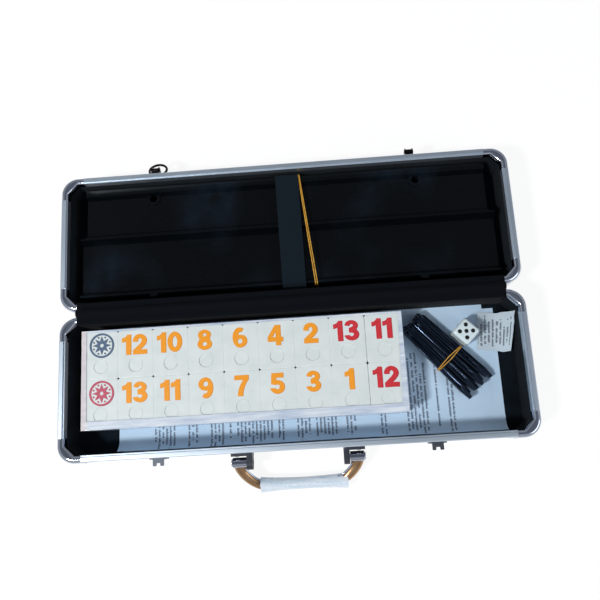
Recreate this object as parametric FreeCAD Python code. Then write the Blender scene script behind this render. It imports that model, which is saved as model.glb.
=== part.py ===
import FreeCAD, Part
import math
import os

# Aluminium rummy case, open flat, with its game. Millimetres, +Z up, X along the case.
# Everything is drawn with the hinge axis over Y = 0 and its half on the +Y side. save() mirrors
# what belongs to the base half and moves all of it so that the origin is the centre of the base's
# underside. A place written (x, d, z) has d as its distance from the hinge axis.

V = FreeCAD.Vector

# Case, outside sizes
case_length = 350.0
half_depth = 107.0
half_height = 34.0
closing_gap = 0.3         # between the two rims when the case is shut

# Boards and aluminium rails
board = 2.6
rail_skin = 1.0           # flange that lies over a board's outer face
board_play = 0.1
rim_overhang = 0.3        # the rim stands this far in over the lining
rim_cap = 2.4             # solid metal above the board's edge
rim_outer_drop = 9.5
rim_inner_drop = 6.0
rim_round = 0.9
groove_start = 3.3        # from the outer face
groove_width = 1.0
groove_depth = 1.3
tongue_play = 0.1
tongue_height = 1.1
edge_flange = 9.0
edge_round = 2.2

# Chromed corner posts
corner_leg = 17.5         # length along each wall
corner_radius = 12.5
corner_proud = 0.7
corner_chamfer = 7.0      # 45 degree inner side of the web
corner_bead = 1.4         # rounding of the outer bead
corner_inner_round = 0.7
web_sink = 0.6            # the web lies this far below the outer bead
board_corner = 13.0       # the boards stop this far from the corner

# Cloth lining and hinge cloth
lining_floor = 0.8
lining_wall = 1.0
cloth = 0.6
cloth_recess = 0.7
cloth_end_gap = 13.5      # from each side wall's outer face
cloth_tail = 12.0         # how far it runs down inside each half

# Piano hinge
hinge_length = 312.0
knuckle_count = 13
knuckle_radius = 2.5
knuckle_gap = 0.3
knuckle_play = 0.4        # between the knuckles and each back wall
hinge_pin_radius = 1.0
hinge_pin_play = 0.05
leaf = 0.8
leaf_drop = 9.0
leaf_rivets = 6

# Rivets
rivet_radius = 0.9
rivet_head = 1.5
rivet_dome = 0.6
rivet_play = 0.05

# Handle
handle_spacing = 71.6     # between the posts' middles
post_width = 4.4
post_nose = 4.5
bracket_width = 15.8
bracket_height = 14.5
bracket_plate = 3.4
pivot_out = 8.1           # pivot axis from the board's outer face
pivot_height = 17.0
pivot_radius = 1.9
pivot_play = 0.05
barrel_radius = 3.75
barrel_width = 10.2
side_play = 0.3
handle_reach = 20.3       # pivot axis to grip axis
grip_length = 58.0
grip_radius = 4.7
sleeve_radius = 6.3
sleeve_skin = 0.25
sleeve_length = 63.0
sleeve_shift = 0.7        # the film has slipped this far towards +X
floor_play = 0.2          # under the film at rest

# Latches
latch_place = 101.0       # each side of the middle
catch_width = 8.2
catch_plate_width = 13.0
catch_reach = 5.8
catch_metal = 1.2
catch_level = 31.2        # top of the tab
ear_gap = 4.8             # between the keeper's two ears
ear_metal = 0.8
ear_reach = 7.0
ear_top = 4.0             # below the lid's rim
keeper_width = 14.4
keeper_drop = 12.6
lever_pivot_out = 4.6
lever_pivot_down = 6.2
lever_metal = 1.0
lever_play = 0.2
lever_barrel = 1.9
latch_pin_radius = 0.8
neck_width = 2.0
notch_play = 0.4
head_height = 1.3
ring_radius = 7.0
ring_wire = 0.7
eye_out = 2.3
eye_down = 10.6
eye_radius = 1.15
ring_fall = 29.0          # degrees below level at rest

# Tile racks in the lid
rack_count = 4
rack_length = 326.0
rack_width = 88.0
rack_skin = 3.0
rack_lip = 6.0
rack_ridge = 6.2
rack_step = 1.4           # second tier above the first
rack_flange = 5.0
rack_end_step = 4.0
rack_front_gap = 2.6      # from the lining to the racks' upper edge
rack_nest_gap = 0.3
socket_spacing = 210.0
socket_from_top = 9.0
socket_radius = 3.0
socket_boss = 5.4
strap_width = 18.2
strap = 0.9
strap_place = 4.1
strap_below_cloth = 2.15   # its near end under the hinge cloth's lower edge
band_width = 1.6
band = 0.9
band_far_place = 12.9
band_near_place = 21.8
band_play = 0.1

# Tiles, tray and the loose pieces in the base
tile_columns = 9
tile_rows = 2
tile_layers = 6
tiles_in_game = 106
tile_width = 26.4
tile_depth = 35.7
tile_thick = 4.4
tile_play = 0.15
tile_round = 2.0
dimple_radius = 5.2
dimple_depth = 0.3
dimple_from_front = 9.2
tray_skin = 0.7
tray_play = 0.2
tray_rim_below = 0.4      # below the tiles' tops
tray_side_gap = 12.6      # from the lining's left wall
tray_back_gap = 6.2       # from the lining's back wall
paper = 0.3
paper_gap = 0.1
leaflet_length = 291.5
leaflet_side_gap = 12.8   # from the lining's right wall
leaflet_back_gap = 0.4
leaflet_rise = 8.0
die_size = 15.5
die_round = 2.3
pip_radius = 1.65
pip_depth = 0.4
pip_spread = 3.5
die_side = 38.0           # its middle from the lining's right wall
die_d = 30.0
die_turn = 45.0
leg_length = 67.5
leg_width = 4.8
leg_height = 4.0
leg_wall = 1.0
leg_gap = 0.3
leg_columns = 4
leg_fan = 1.5             # degrees between neighbours, which meet at their eyes
bundle_side = 53.3        # its middle from the lining's right wall
bundle_d = 45.9
bundle_turn = 48.2        # degrees from X towards the front
leg_band_width = 2.4
leg_band_shift = 3.5
sachet_width = 27.0
sachet_depth = 30.0
sachet_thick = 0.8
sachet_side = 14.7        # its middle from the lining's right wall
sachet_d = 32.0
sachet_turn = 4.0

# Worked out from the sizes above
half_length = case_length / 2
hinge_offset = knuckle_radius + knuckle_play   # from each back wall to the hinge axis
front = hinge_offset + half_depth
axis_height = half_height + closing_gap / 2
origin_shift = hinge_offset + half_depth / 2
board_inside = rail_skin + board
lining_outside = board_inside + board_play
lining_inside = lining_outside + lining_wall
rim_width = lining_inside + rim_overhang
lining_right = half_length - lining_inside
cloth_length = case_length - 2 * cloth_end_gap
rack_near = front - lining_inside - rack_front_gap - rack_width
leaflet_right = lining_right - leaflet_side_gap
leaflet_left = leaflet_right - leaflet_length
sachet_x = lining_right - sachet_side
die_x = lining_right - die_side
bundle_x = lining_right - bundle_side
floor_top = board_inside + lining_floor
slot_top = half_height - rim_cap
board_top = slot_top - 2 * board_play
post_middle = handle_spacing / 2
pivot_d = front - rail_skin + pivot_out
rest_fall = math.asin((pivot_height - sleeve_radius - floor_play) / handle_reach)
paper_top = floor_top + paper_gap + paper
contents_floor = paper_top + paper_gap


def box(x0, x1, d0, d1, z0, z1):
    return Part.makeBox(x1 - x0, d1 - d0, z1 - z0, V(x0, d0, z0))


def rod(start, direction, radius, length):
    return Part.makeCylinder(radius, length, start, direction)


def face_from(place, start, *steps):
    """A closed face. A step is a point, or (middle, end) for an arc; place maps it to space."""
    edges = []
    here = place(*start)
    for step in steps + (start,):
        if isinstance(step[0], tuple):
            middle = place(*step[0])
            there = place(*step[1])
            edges.append(Part.Arc(here, middle, there).toShape())
        else:
            there = place(*step)
            if (there - here).Length < 1e-7:
                continue
            edges.append(Part.LineSegment(here, there).toShape())
        here = there
    return Part.Face(Part.Wire(edges))


def flat(a, b):
    return V(a, b, 0)


def upright(a, b):
    return V(0, a, b)


def union(shapes):
    whole = shapes[0].fuse(shapes[1:]) if len(shapes) > 1 else shapes[0]
    return whole.removeSplitter()


def across(shape):
    """The same piece on the other end of the case."""
    return shape.mirror(V(0, 0, 0), V(1, 0, 0))


def turned(shape, centre, axis, degrees):
    copy = shape.copy()
    copy.rotate(centre, axis, degrees)
    return copy


def moved(shape, x, d, z):
    copy = shape.copy()
    copy.translate(V(x, d, z))
    return copy


def save(name, solids, base):
    """Writes one node, mirrored into the base half if it belongs there."""
    placed = []
    for solid in solids:
        shape = solid.mirror(V(0, 0, 0), V(0, 1, 0)) if base else solid.copy()
        shape.translate(V(0, origin_shift, 0))
        placed.append(shape)
    whole = placed[0] if len(placed) == 1 else Part.makeCompound(placed)
    whole.exportStep("parts/" + name + ".step")


# Walls
# t is the distance inwards from a wall's outer face, and a wall's run is measured along it.

WALLS = ("front", "back", "left", "right")


def wall_run(wall, corner):
    """Where a wall's pieces start and end if they stop short of the corners."""
    if wall in ("front", "back"):
        return -half_length + corner, half_length - corner
    return hinge_offset + corner, front - corner


def wall_place(wall, along):
    def place(t, z):
        if wall == "front":
            return V(along, front - t, z)
        if wall == "back":
            return V(along, hinge_offset + t, z)
        if wall == "left":
            return V(-half_length + t, along, z)
        return V(half_length - t, along, z)
    return place


def run_along(wall, corner, start, *steps):
    """A section, given in t and z, drawn out along a wall."""
    first, last = wall_run(wall, corner)
    direction = V(1, 0, 0) if wall in ("front", "back") else V(0, 1, 0)
    return face_from(wall_place(wall, first), start, *steps).extrude(direction * (last - first))


def rim_rail(wall, has_groove):
    """The rim's extrusion: two flanges over the board, and a groove or a tongue on top."""
    lowered = cloth_recess if wall == "back" else 0.0
    top = half_height - lowered
    slant = rim_round * (1 - math.sqrt(0.5))
    rail = run_along(
        wall, corner_leg,
        (0, half_height - rim_outer_drop),
        (0, top - rim_round),
        ((slant, top - slant), (rim_round, top)),
        (rim_width - 0.3, top),
        (rim_width, top - 0.3),
        (rim_width, half_height - rim_inner_drop),
        (board_inside + board_play, half_height - rim_inner_drop),
        (board_inside + board_play, slot_top),
        (rail_skin, slot_top),
        (rail_skin, half_height - rim_outer_drop),
    )
    if wall == "back":
        return rail
    if has_groove:
        groove = run_along(
            wall, corner_leg,
            (groove_start, top),
            (groove_start, top - groove_depth),
            (groove_start + groove_width, top - groove_depth),
            (groove_start + groove_width, top),
        )
        return rail.cut(groove)
    inner = groove_start + groove_width - tongue_play
    outer = groove_start + tongue_play
    tongue = run_along(
        wall, corner_leg + 0.5,
        (outer, top - 0.2),
        (outer, top + tongue_height - 0.2),
        (outer + 0.2, top + tongue_height),
        (inner - 0.2, top + tongue_height),
        (inner, top + tongue_height - 0.2),
        (inner, top - 0.2),
    )
    return union([rail, tongue])


def edge_rail(wall):
    """The angle along a bottom edge, rounded outside."""
    slant = edge_round * (1 - math.sqrt(0.5))
    return run_along(
        wall, corner_leg,
        (0, edge_flange),
        (0, edge_round),
        ((slant, slant), (edge_round, 0)),
        (edge_flange, 0),
        (edge_flange, rail_skin),
        (rail_skin, rail_skin),
        (rail_skin, edge_flange),
    )


def wall_board(wall):
    return run_along(
        wall, board_corner,
        (rail_skin, rail_skin),
        (rail_skin, board_top),
        (board_inside, board_top),
        (board_inside, rail_skin),
    )


def cut_corner_plate(inset, cut, z0, z1):
    """A plate over a half's inside, at an inset from the outer faces, with its corners cut off."""
    x = half_length - inset
    near = hinge_offset + inset
    far = front - inset
    outline = face_from(
        flat,
        (-x + cut, near), (x - cut, near), (x, near + cut), (x, far - cut),
        (x - cut, far), (-x + cut, far), (-x, far - cut), (-x, near + cut),
    )
    return moved(outline.extrude(V(0, 0, z1 - z0)), 0, 0, z0)


def bottom_panel():
    """A panel rebated all round, so that the edge rails and the posts' feet lie flush with it."""
    tongue = cut_corner_plate(board_inside, 4.0, rail_skin, board_inside)
    inset = edge_flange + board_play
    feet = corner_leg + edge_flange - 2 - 2 * inset
    return union([tongue, cut_corner_plate(inset, feet + 2 * board_play, 0, rail_skin)])


def lining():
    """Cloth-covered floor and walls, one tray with its corners at 45 degrees."""
    outer_cut = corner_chamfer + 0.6
    inner_cut = outer_cut - lining_wall * (2 - math.sqrt(2))
    top = half_height - rim_inner_drop - board_play
    outside = cut_corner_plate(lining_outside, outer_cut, board_inside, top)
    inside = cut_corner_plate(lining_inside, inner_cut, floor_top, top + 1)
    return outside.cut(inside)


# Corner posts
# a and b are distances from the two outer faces that meet at the corner.

def post_outside(outset):
    """The start and the steps of a post's outer outline, ending at the end of its second leg."""
    centre = corner_radius
    radius = corner_radius + outset
    middle = centre - radius * math.sqrt(0.5)
    start = (corner_leg, -outset)
    return start, [(centre, -outset), ((middle, middle), (-outset, centre)), (-outset, corner_leg)]


def corner_post():
    """A full-height corner with a rim web, a skirt behind it and a foot web."""
    start, steps = post_outside(corner_proud)
    inner_start, inner_steps = post_outside(-rail_skin)
    inner = [inner_start] + inner_steps
    shell = face_from(
        flat, start, *steps,
        (rail_skin, corner_leg),
        (rail_skin, corner_radius),
        (inner[2][0], (corner_radius, rail_skin)),
        (corner_leg, rail_skin),
    ).extrude(V(0, 0, half_height))
    reach = rim_width + corner_chamfer
    web = face_from(
        flat, start, *steps,
        (rim_width, corner_leg), (rim_width, reach), (reach, rim_width), (corner_leg, rim_width),
    ).extrude(V(0, 0, rim_cap - web_sink))
    skirt_width = rim_width - board_inside - board_play
    back = rim_width - skirt_width
    bend = reach - skirt_width * (math.sqrt(2) - 1)
    skirt = face_from(
        flat,
        (corner_leg, rim_width), (reach, rim_width), (rim_width, reach), (rim_width, corner_leg),
        (back, corner_leg), (back, bend), (bend, back), (corner_leg, back),
    ).extrude(V(0, 0, rim_inner_drop - web_sink))
    foot = face_from(
        flat, start, *steps, (edge_flange - 2, corner_leg), (corner_leg, edge_flange - 2),
    ).extrude(V(0, 0, rail_skin))
    post = union([
        shell,
        moved(web, 0, 0, slot_top),
        moved(skirt, 0, 0, half_height - rim_inner_drop),
        foot,
    ])
    low = [e for e in post.Edges if outer_edge_at(e, 0.0)]
    high = [e for e in post.Edges if outer_edge_at(e, half_height)]
    post = post.makeFillet(1.6, low).makeFillet(corner_bead, high)
    return post.makeFillet(corner_inner_round, [e for e in post.Edges if inner_web_edge(e)])


def outer_edge_at(edge, level):
    """Whether an edge lies in a post's outermost outline at this level."""
    points = [v.Point for v in edge.Vertexes] + [edge.CenterOfMass]
    if any(abs(p.z - level) > 0.01 for p in points):
        return False
    middle = edge.valueAt((edge.FirstParameter + edge.LastParameter) / 2)
    if min(middle.x, middle.y) < -corner_proud + 0.01:
        return True
    spot = V(corner_radius, corner_radius, level)
    far = corner_radius + corner_proud - 0.01
    return middle.x < corner_radius and middle.y < corner_radius and (middle - spot).Length > far


def inner_web_edge(edge):
    """Whether an edge is where a post's web turns down towards the inside of the case."""
    points = [v.Point for v in edge.Vertexes]
    level = half_height - web_sink
    near_end = corner_leg - 0.01
    along_an_end = all(p.x > near_end for p in points) or all(p.y > near_end for p in points)
    return (not along_an_end and all(abs(p.z - level) < 0.01 for p in points)
            and all(min(p.x, p.y) > rim_width - 0.01 for p in points))


def four_corners(shape):
    """A piece drawn in a corner's own distances, at a half's four corners."""
    near_left = moved(shape, -half_length, hinge_offset, 0)
    middle = V(0, hinge_offset + half_depth / 2, 0)
    far_left = near_left.mirror(middle, V(0, 1, 0))
    return [near_left, far_left, across(near_left), across(far_left)]


# Rivets

def rivet(point, outward, grip):
    """A domed head on a surface, and a shank that goes in for the length of its grip."""
    radius = (rivet_head ** 2 + rivet_dome ** 2) / (2 * rivet_dome)
    ball = Part.makeSphere(radius, point + outward * (rivet_dome - radius))
    head = ball.common(rod(point, outward, rivet_head, rivet_dome + 1))
    return union([head, rod(point - outward * grip, outward, rivet_radius, grip + 0.1)])


def rivet_hole(point, outward, grip):
    return rod(point - outward * (grip + rivet_play), outward, rivet_radius + rivet_play, grip + 3)


def drilled(shape, holes):
    for point, outward, grip in holes:
        shape = shape.cut(rivet_hole(point, outward, grip))
    return shape


def post_rivet_places():
    """One rivet on each leg of each post, through the leg and into the board."""
    grip = corner_proud + rail_skin + 1.5
    places = []
    along = corner_leg - 2.2
    height = half_height / 2
    for x_side in (-1, 1):
        for wall_d, out in ((front + corner_proud, 1), (hinge_offset - corner_proud, -1)):
            places.append((V(x_side * (half_length - along), wall_d, height), V(0, out, 0), grip))
        for d in (front - along, hinge_offset + along):
            places.append((V(x_side * (half_length + corner_proud), d, height), V(x_side, 0, 0), grip))
    return places


def leaf_rivet_places():
    grip = leaf + rail_skin
    pitch = hinge_length / leaf_rivets
    height = half_height - leaf_drop + 2.6
    return [(V((i + 0.5) * pitch - hinge_length / 2, hinge_offset - leaf, height), V(0, -1, 0), grip)
            for i in range(leaf_rivets)]


def catch_rivet_places():
    places = []
    for x in (-latch_place, latch_place):
        for side in (-1, 1):
            centre = x + side * (catch_plate_width / 2 - 2.4)
            places.append((V(centre, front + 1.0, catch_level - 3.6), V(0, 1, 0), 1.0 + rail_skin))
    return places


def keeper_rivet_places():
    places = []
    for x in (-latch_place, latch_place):
        for side in (-1, 1):
            centre = x + side * (keeper_width / 2 - 1.9)
            height = half_height - ear_top - 3.0
            places.append((V(centre, front + ear_metal, height), V(0, 1, 0), ear_metal + rail_skin))
    return places


def bracket_rivet_places():
    places = []
    outer = post_middle - post_width / 2 + bracket_width - 4.5
    face = front - rail_skin + bracket_plate
    for x in (-outer, outer):
        for side in (-1, 1):
            height = pivot_height + side * (bracket_height / 2 - 1.9)
            places.append((V(x, face, height), V(0, 1, 0), bracket_plate + 1.5))
    return places


# Hinge

def hinge_leaf(first):
    """A riveted leaf with every second knuckle, from the first one on."""
    d0 = hinge_offset - leaf
    clear = 0.3
    notch = axis_height - math.sqrt((knuckle_radius + clear) ** 2 - d0 ** 2) - clear
    plate = box(-hinge_length / 2, hinge_length / 2, d0, hinge_offset, half_height - leaf_drop, notch)
    pitch = hinge_length / knuckle_count
    pieces = [plate]
    for i in range(first, knuckle_count, 2):
        x0 = -hinge_length / 2 + i * pitch + knuckle_gap / 2
        x1 = x0 + pitch - knuckle_gap
        pieces.append(box(x0, x1, d0, hinge_offset, notch - 1, axis_height))
        pieces.append(rod(V(x0, 0, axis_height), V(1, 0, 0), knuckle_radius, x1 - x0))
    whole = union(pieces)
    bore = rod(V(-half_length, 0, axis_height), V(1, 0, 0), hinge_pin_radius + hinge_pin_play, case_length)
    return drilled(whole.cut(bore), leaf_rivet_places())


def hinge_pin():
    return rod(V(-hinge_length / 2, 0, axis_height), V(1, 0, 0), hinge_pin_radius, hinge_length)


def hinge_cloth():
    """One half of the cloth over the hinge: along the back rim and down the inside."""
    top = half_height - cloth_recess
    inside = hinge_offset + rim_width
    section = face_from(
        upright,
        (hinge_offset, top), (hinge_offset, top + cloth),
        (inside + cloth - 0.4, top + cloth), (inside + cloth, top + cloth - 0.4),
        (inside + cloth, top - cloth_tail), (inside, top - cloth_tail), (inside, top),
    )
    return moved(section.extrude(V(cloth_length, 0, 0)), -cloth_length / 2, 0, 0)


def cloth_pocket():
    """The room that the cloth's ends take out of the two back posts' webs."""
    reach = cloth_length / 2 + board_play
    return box(-reach, reach, hinge_offset - 2 * corner_proud, hinge_offset + rim_width + 0.01,
               half_height - cloth_recess, half_height + 1)


# Handle, drawn straight out from the front wall and then let down to its rest

def handle_bracket():
    """Left bracket: a plate on the board and a post at its inner end, with the pivot's hole."""
    face = front - rail_skin
    inner = -post_middle + post_width / 2
    plate = box(inner - bracket_width, inner, face, face + bracket_plate,
                pivot_height - bracket_height / 2, pivot_height + bracket_height / 2)
    corners = [e for e in plate.Edges if abs(e.CenterOfMass.y - face - bracket_plate / 2) < 0.01]
    plate = plate.makeFillet(1.5, corners)
    nose = pivot_d + 1.0
    post = face_from(
        upright,
        (face, pivot_height - post_nose), (nose, pivot_height - post_nose),
        ((nose + post_nose, pivot_height), (nose, pivot_height + post_nose)),
        (face, pivot_height + post_nose),
    ).extrude(V(post_width, 0, 0))
    whole = union([plate, moved(post, inner - post_width, 0, 0)])
    hole = rod(V(-half_length, pivot_d, pivot_height), V(1, 0, 0), pivot_radius + pivot_play, case_length)
    return drilled(whole.cut(hole), bracket_rivet_places())


def handle_pin():
    """Left pivot pin, from the post out through the handle's barrel."""
    start = -post_middle + post_width / 2 - 0.6
    length = post_width - 0.6 + side_play + barrel_width + side_play
    pin = rod(V(start, pivot_d, pivot_height), V(-1, 0, 0), pivot_radius, length)
    head = rod(V(start - length, pivot_d, pivot_height), V(-1, 0, 0), pivot_radius + 1.0, 0.9)
    edge = [e for e in head.Edges if abs(e.CenterOfMass.x - (start - length - 0.9)) < 0.01]
    return union([pin, head.makeFillet(0.6, edge)])


def oval(centre, along, wide, thick):
    """An oval wire across a direction in the handle's plane."""
    side = V(along.y, -along.x, 0).normalize()
    curve = Part.Ellipse(centre + side * (wide / 2), centre + V(0, 0, thick / 2), centre)
    if thick > wide:
        curve = Part.Ellipse(centre + V(0, 0, thick / 2), centre + side * (wide / 2), centre)
    return Part.Wire([curve.toShape()])


def handle_arm():
    """Left arm: a barrel on the pivot, and a bow that swells and narrows into the grip."""
    barrel_end = -post_middle - post_width / 2 - side_play
    barrel = rod(V(barrel_end, 0, 0), V(-1, 0, 0), barrel_radius, barrel_width)
    middle = barrel_end - barrel_width / 2
    grip_end = -grip_length / 2
    run = middle - grip_end
    stations = (
        (middle, 0.5, V(0, 1, 0), 9.6, 6.6),
        (middle - 0.02 * run, 5.5, V(-0.02, 1, 0), 9.2, 6.2),
        (middle - 0.28 * run, 12.2, V(0.62, 1, 0), 8.0, 6.0),
        (middle - 0.66 * run, handle_reach - 2.6, V(1, 0.62, 0), 7.2, 6.6),
        (grip_end, handle_reach, V(1, 0.12, 0), 7.4, 7.4),
    )
    bow = Part.makeLoft([oval(V(x, r, 0), way, wide, thick) for x, r, way, wide, thick in stations], True)
    collar = rod(V(grip_end - 0.6, handle_reach, 0), V(1, 0, 0), grip_radius - 0.6, 2.0)
    arm = union([barrel, bow, collar])
    return arm.cut(rod(V(0, 0, 0), V(-1, 0, 0), pivot_radius + pivot_play, case_length))


def handle_grip():
    """A grip that swells gently in the middle, with a rounded bead at each end."""
    x0 = -grip_length / 2 + 1.5
    outline = face_from(
        flat,
        (x0, 0), (x0, grip_radius - 1.0), ((x0 + 0.3, grip_radius - 0.3), (x0 + 1.0, grip_radius)),
        (x0 + 2.5, grip_radius - 0.5), ((0, grip_radius), (-x0 - 2.5, grip_radius - 0.5)),
        (-x0 - 1.0, grip_radius), ((-x0 - 0.3, grip_radius - 0.3), (-x0, grip_radius - 1.0)), (-x0, 0),
    )
    return moved(outline.revolve(V(0, 0, 0), V(1, 0, 0), 360), 0, handle_reach, 0)


def grip_film():
    start = sleeve_shift - sleeve_length / 2
    outer = rod(V(start, handle_reach, 0), V(1, 0, 0), sleeve_radius, sleeve_length)
    inner = rod(V(start - 1, handle_reach, 0), V(1, 0, 0), sleeve_radius - sleeve_skin, sleeve_length + 2)
    return outer.cut(inner)


def let_down(shape):
    placed = moved(shape, 0, pivot_d, pivot_height)
    return turned(placed, V(0, pivot_d, pivot_height), V(1, 0, 0), -math.degrees(rest_fall))


# Latches

def catch_plate():
    """Left catch on the base: a riveted plate with a notched tab standing out of it."""
    x = -latch_place
    plate = box(x - catch_plate_width / 2, x + catch_plate_width / 2, front, front + 1.0,
                half_height - rim_outer_drop + 0.3, catch_level)
    tab = box(x - catch_width / 2, x + catch_width / 2, front, front + catch_reach,
              catch_level - catch_metal, catch_level)
    ends = [e for e in tab.Edges
            if abs(e.CenterOfMass.y - front - catch_reach) < 0.01 and abs(e.Length - catch_metal) < 0.01]
    tab = tab.makeFillet(0.8, ends)
    slot = neck_width / 2 + notch_play
    inner = front + lever_pivot_out - lever_metal / 2 - notch_play
    notch = face_from(
        flat,
        (x - slot, inner), (x + slot, inner),
        (x + slot, front + catch_reach - 0.8), (x + slot + 0.5, front + catch_reach + 0.1),
        (x - slot - 0.5, front + catch_reach + 0.1), (x - slot, front + catch_reach - 0.8),
    ).extrude(V(0, 0, 3 * catch_metal))
    whole = union([plate, tab]).cut(moved(notch, 0, 0, catch_level - 2 * catch_metal))
    return drilled(whole, catch_rivet_places())


def out_down(out, down):
    """A point on a section of the lid's front, by its distances out and down from the rim's edge."""
    return V(0, front + out, half_height - down)


def latch_keeper():
    """Left keeper on the lid: a riveted plate with two ears for the lever's pin and the key ring."""
    x = -latch_place
    plate = box(x - keeper_width / 2, x + keeper_width / 2, front, front + ear_metal,
                half_height - ear_top - 7.0, half_height - ear_top)
    spine = box(x - ear_gap / 2 - ear_metal, x + ear_gap / 2 + ear_metal, front, front + ear_metal,
                half_height - keeper_drop, half_height - ear_top)
    ear = face_from(
        out_down,
        (0, ear_top), (ear_reach - 1.6, ear_top),
        ((ear_reach - 0.5, ear_top + 0.5), (ear_reach, ear_top + 1.6)),
        (ear_reach, lever_pivot_down + 1.4), (3.7, keeper_drop), (0, keeper_drop),
    ).extrude(V(ear_metal, 0, 0))
    ears = [moved(ear, x + ear_gap / 2, 0, 0), moved(ear, x - ear_gap / 2 - ear_metal, 0, 0)]
    lid_bridge = box(x - ear_gap / 2, x + ear_gap / 2, front, front + lever_pivot_out - lever_barrel - 0.3,
                     half_height - ear_top - ear_metal, half_height - ear_top)
    whole = union([plate, spine, lid_bridge] + ears)
    pin = rod(out_down(lever_pivot_out, lever_pivot_down) + V(x - 9, 0, 0), V(1, 0, 0),
              latch_pin_radius + 0.02, 18)
    eye = rod(out_down(eye_out, eye_down) + V(x - 9, 0, 0), V(1, 0, 0), eye_radius, 18)
    return drilled(whole.cut([pin, eye]), keeper_rivet_places())


def latch_pin():
    x = -latch_place
    reach = ear_gap / 2 + ear_metal
    start = out_down(lever_pivot_out, lever_pivot_down) + V(x - reach, 0, 0)
    shank = rod(start, V(1, 0, 0), latch_pin_radius, 2 * reach)
    heads = [rod(start - V(0.4, 0, 0), V(1, 0, 0), latch_pin_radius + 0.5, 0.4),
             rod(start + V(2 * reach, 0, 0), V(1, 0, 0), latch_pin_radius + 0.5, 0.4)]
    return union([shank] + heads)


def latch_lever():
    """Left lever, hanging open: a barrel, a strip, and a neck and head that the catch's notch takes."""
    x = -latch_place
    pivot = out_down(lever_pivot_out, lever_pivot_down)
    wide = ear_gap - 2 * lever_play
    barrel = rod(pivot + V(x - wide / 2, 0, 0), V(1, 0, 0), lever_barrel, wide)
    # in the shut case the pivot stands this far above the tab's underside
    to_tab = lever_pivot_down + half_height + closing_gap - (catch_level - catch_metal)
    head_start = to_tab + 0.4
    neck_start = head_start - catch_metal - 1.0
    half_wide = wide / 2
    half_neck = neck_width / 2
    strip = face_from(
        lambda a, b: V(x + a, pivot.y - lever_metal / 2, pivot.z - b),
        (-half_wide, 0.4), (half_wide, 0.4), (half_wide, neck_start - 0.8), (half_neck, neck_start),
        (half_neck, head_start), (half_wide, head_start), (half_wide, head_start + head_height - 0.5),
        (half_wide - 0.5, head_start + head_height), (0.5 - half_wide, head_start + head_height),
        (-half_wide, head_start + head_height - 0.5), (-half_wide, head_start), (-half_neck, head_start),
        (-half_neck, neck_start), (-half_wide, neck_start - 0.8),
    ).extrude(V(0, lever_metal, 0))
    thumb = face_from(
        lambda a, b: V(x - half_wide, pivot.y + a, pivot.z - b),
        (lever_metal / 2 - 0.1, 3.0), (lever_metal / 2 + 1.2, 4.4), (lever_metal / 2 + 1.2, 5.2),
        (lever_metal / 2 - 0.1, 5.2),
    ).extrude(V(wide, 0, 0))
    bore = rod(pivot + V(x - 9, 0, 0), V(1, 0, 0), latch_pin_radius + 0.05, 18)
    return union([barrel, strip, thumb]).cut(bore)


def key_ring():
    """A wire ring through the left keeper's eyes, standing out at its rest angle."""
    reach = ear_gap / 2 + ear_metal / 2
    dip = ring_radius - math.sqrt(ring_radius ** 2 - reach ** 2)
    eye = out_down(eye_out, eye_down) + V(-latch_place, 0, 0)
    ring = Part.makeTorus(ring_radius, ring_wire, eye + V(0, ring_radius - dip, 0), V(0, 0, 1))
    return turned(ring, eye, V(1, 0, 0), -ring_fall)


# Tile racks and what holds them

def rack_under():
    """The underside of a rack's section, from its lower edge to its upper edge."""
    return [
        (0.0, rack_lip), (1.6, rack_lip), (5.0, 0.0),
        (43.0, 0.0), (46.4, rack_ridge), (48.6, rack_ridge), (51.4, rack_step),
        (80.5, rack_step), (83.0, rack_flange), (rack_width, rack_flange),
    ]


def tile_rack():
    """A two-tier rack lying on its back, with leg sockets near its upper edge. All racks nest."""
    under = rack_under()
    over = [(a, b + rack_skin) for a, b in reversed(under)]
    steps = under[1:] + over
    body = face_from(upright, under[0], *steps).extrude(V(rack_length, 0, 0))
    body = moved(body, -rack_length / 2, 0, 0)
    below = face_from(upright, (-5, -5), (-5, rack_lip), *under, (rack_width + 5, rack_flange),
                      (rack_width + 5, -5)).extrude(V(rack_length, 0, 0))
    below = moved(below, -rack_length / 2, 0, 0)
    high = rack_ridge + rack_skin + 1
    end_x = rack_length / 2
    ends = box(end_x - rack_end_step, end_x + 1, 47.5, rack_width + 1, -1, high)
    body = body.cut([ends, across(ends)])
    middle = rack_width - socket_from_top
    for x in (-socket_spacing / 2, socket_spacing / 2):
        boss = rod(V(x, middle, rack_step + 0.2), V(0, 0, 1), socket_boss, rack_skin + 0.8).cut(below)
        relief = rod(V(x, middle, rack_step - 1), V(0, 0, 1), socket_boss + 0.3, 1.9)
        tab = rod(V(x, 0.6, rack_lip + 0.4), V(0, 0, 1), 3.4, rack_skin - 0.8)
        body = union([body, boss, tab.common(box(x - 4, x + 4, -2.2, 1.6, 0, high))])
        body = body.cut([relief, rod(V(x, middle, -1), V(0, 0, 1), socket_radius, high)])
    return body


def rack_solids():
    """The four racks, nested on the lower strand of their rubber band."""
    first = floor_top + band_play + band + rack_nest_gap
    rack = tile_rack()
    return [moved(rack, 0, rack_near, first + i * (rack_skin + rack_nest_gap)) for i in range(rack_count)]


def rack_top_level():
    first = floor_top + band_play + band + rack_nest_gap
    return first + (rack_count - 1) * (rack_skin + rack_nest_gap) + rack_ridge + rack_skin


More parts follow.
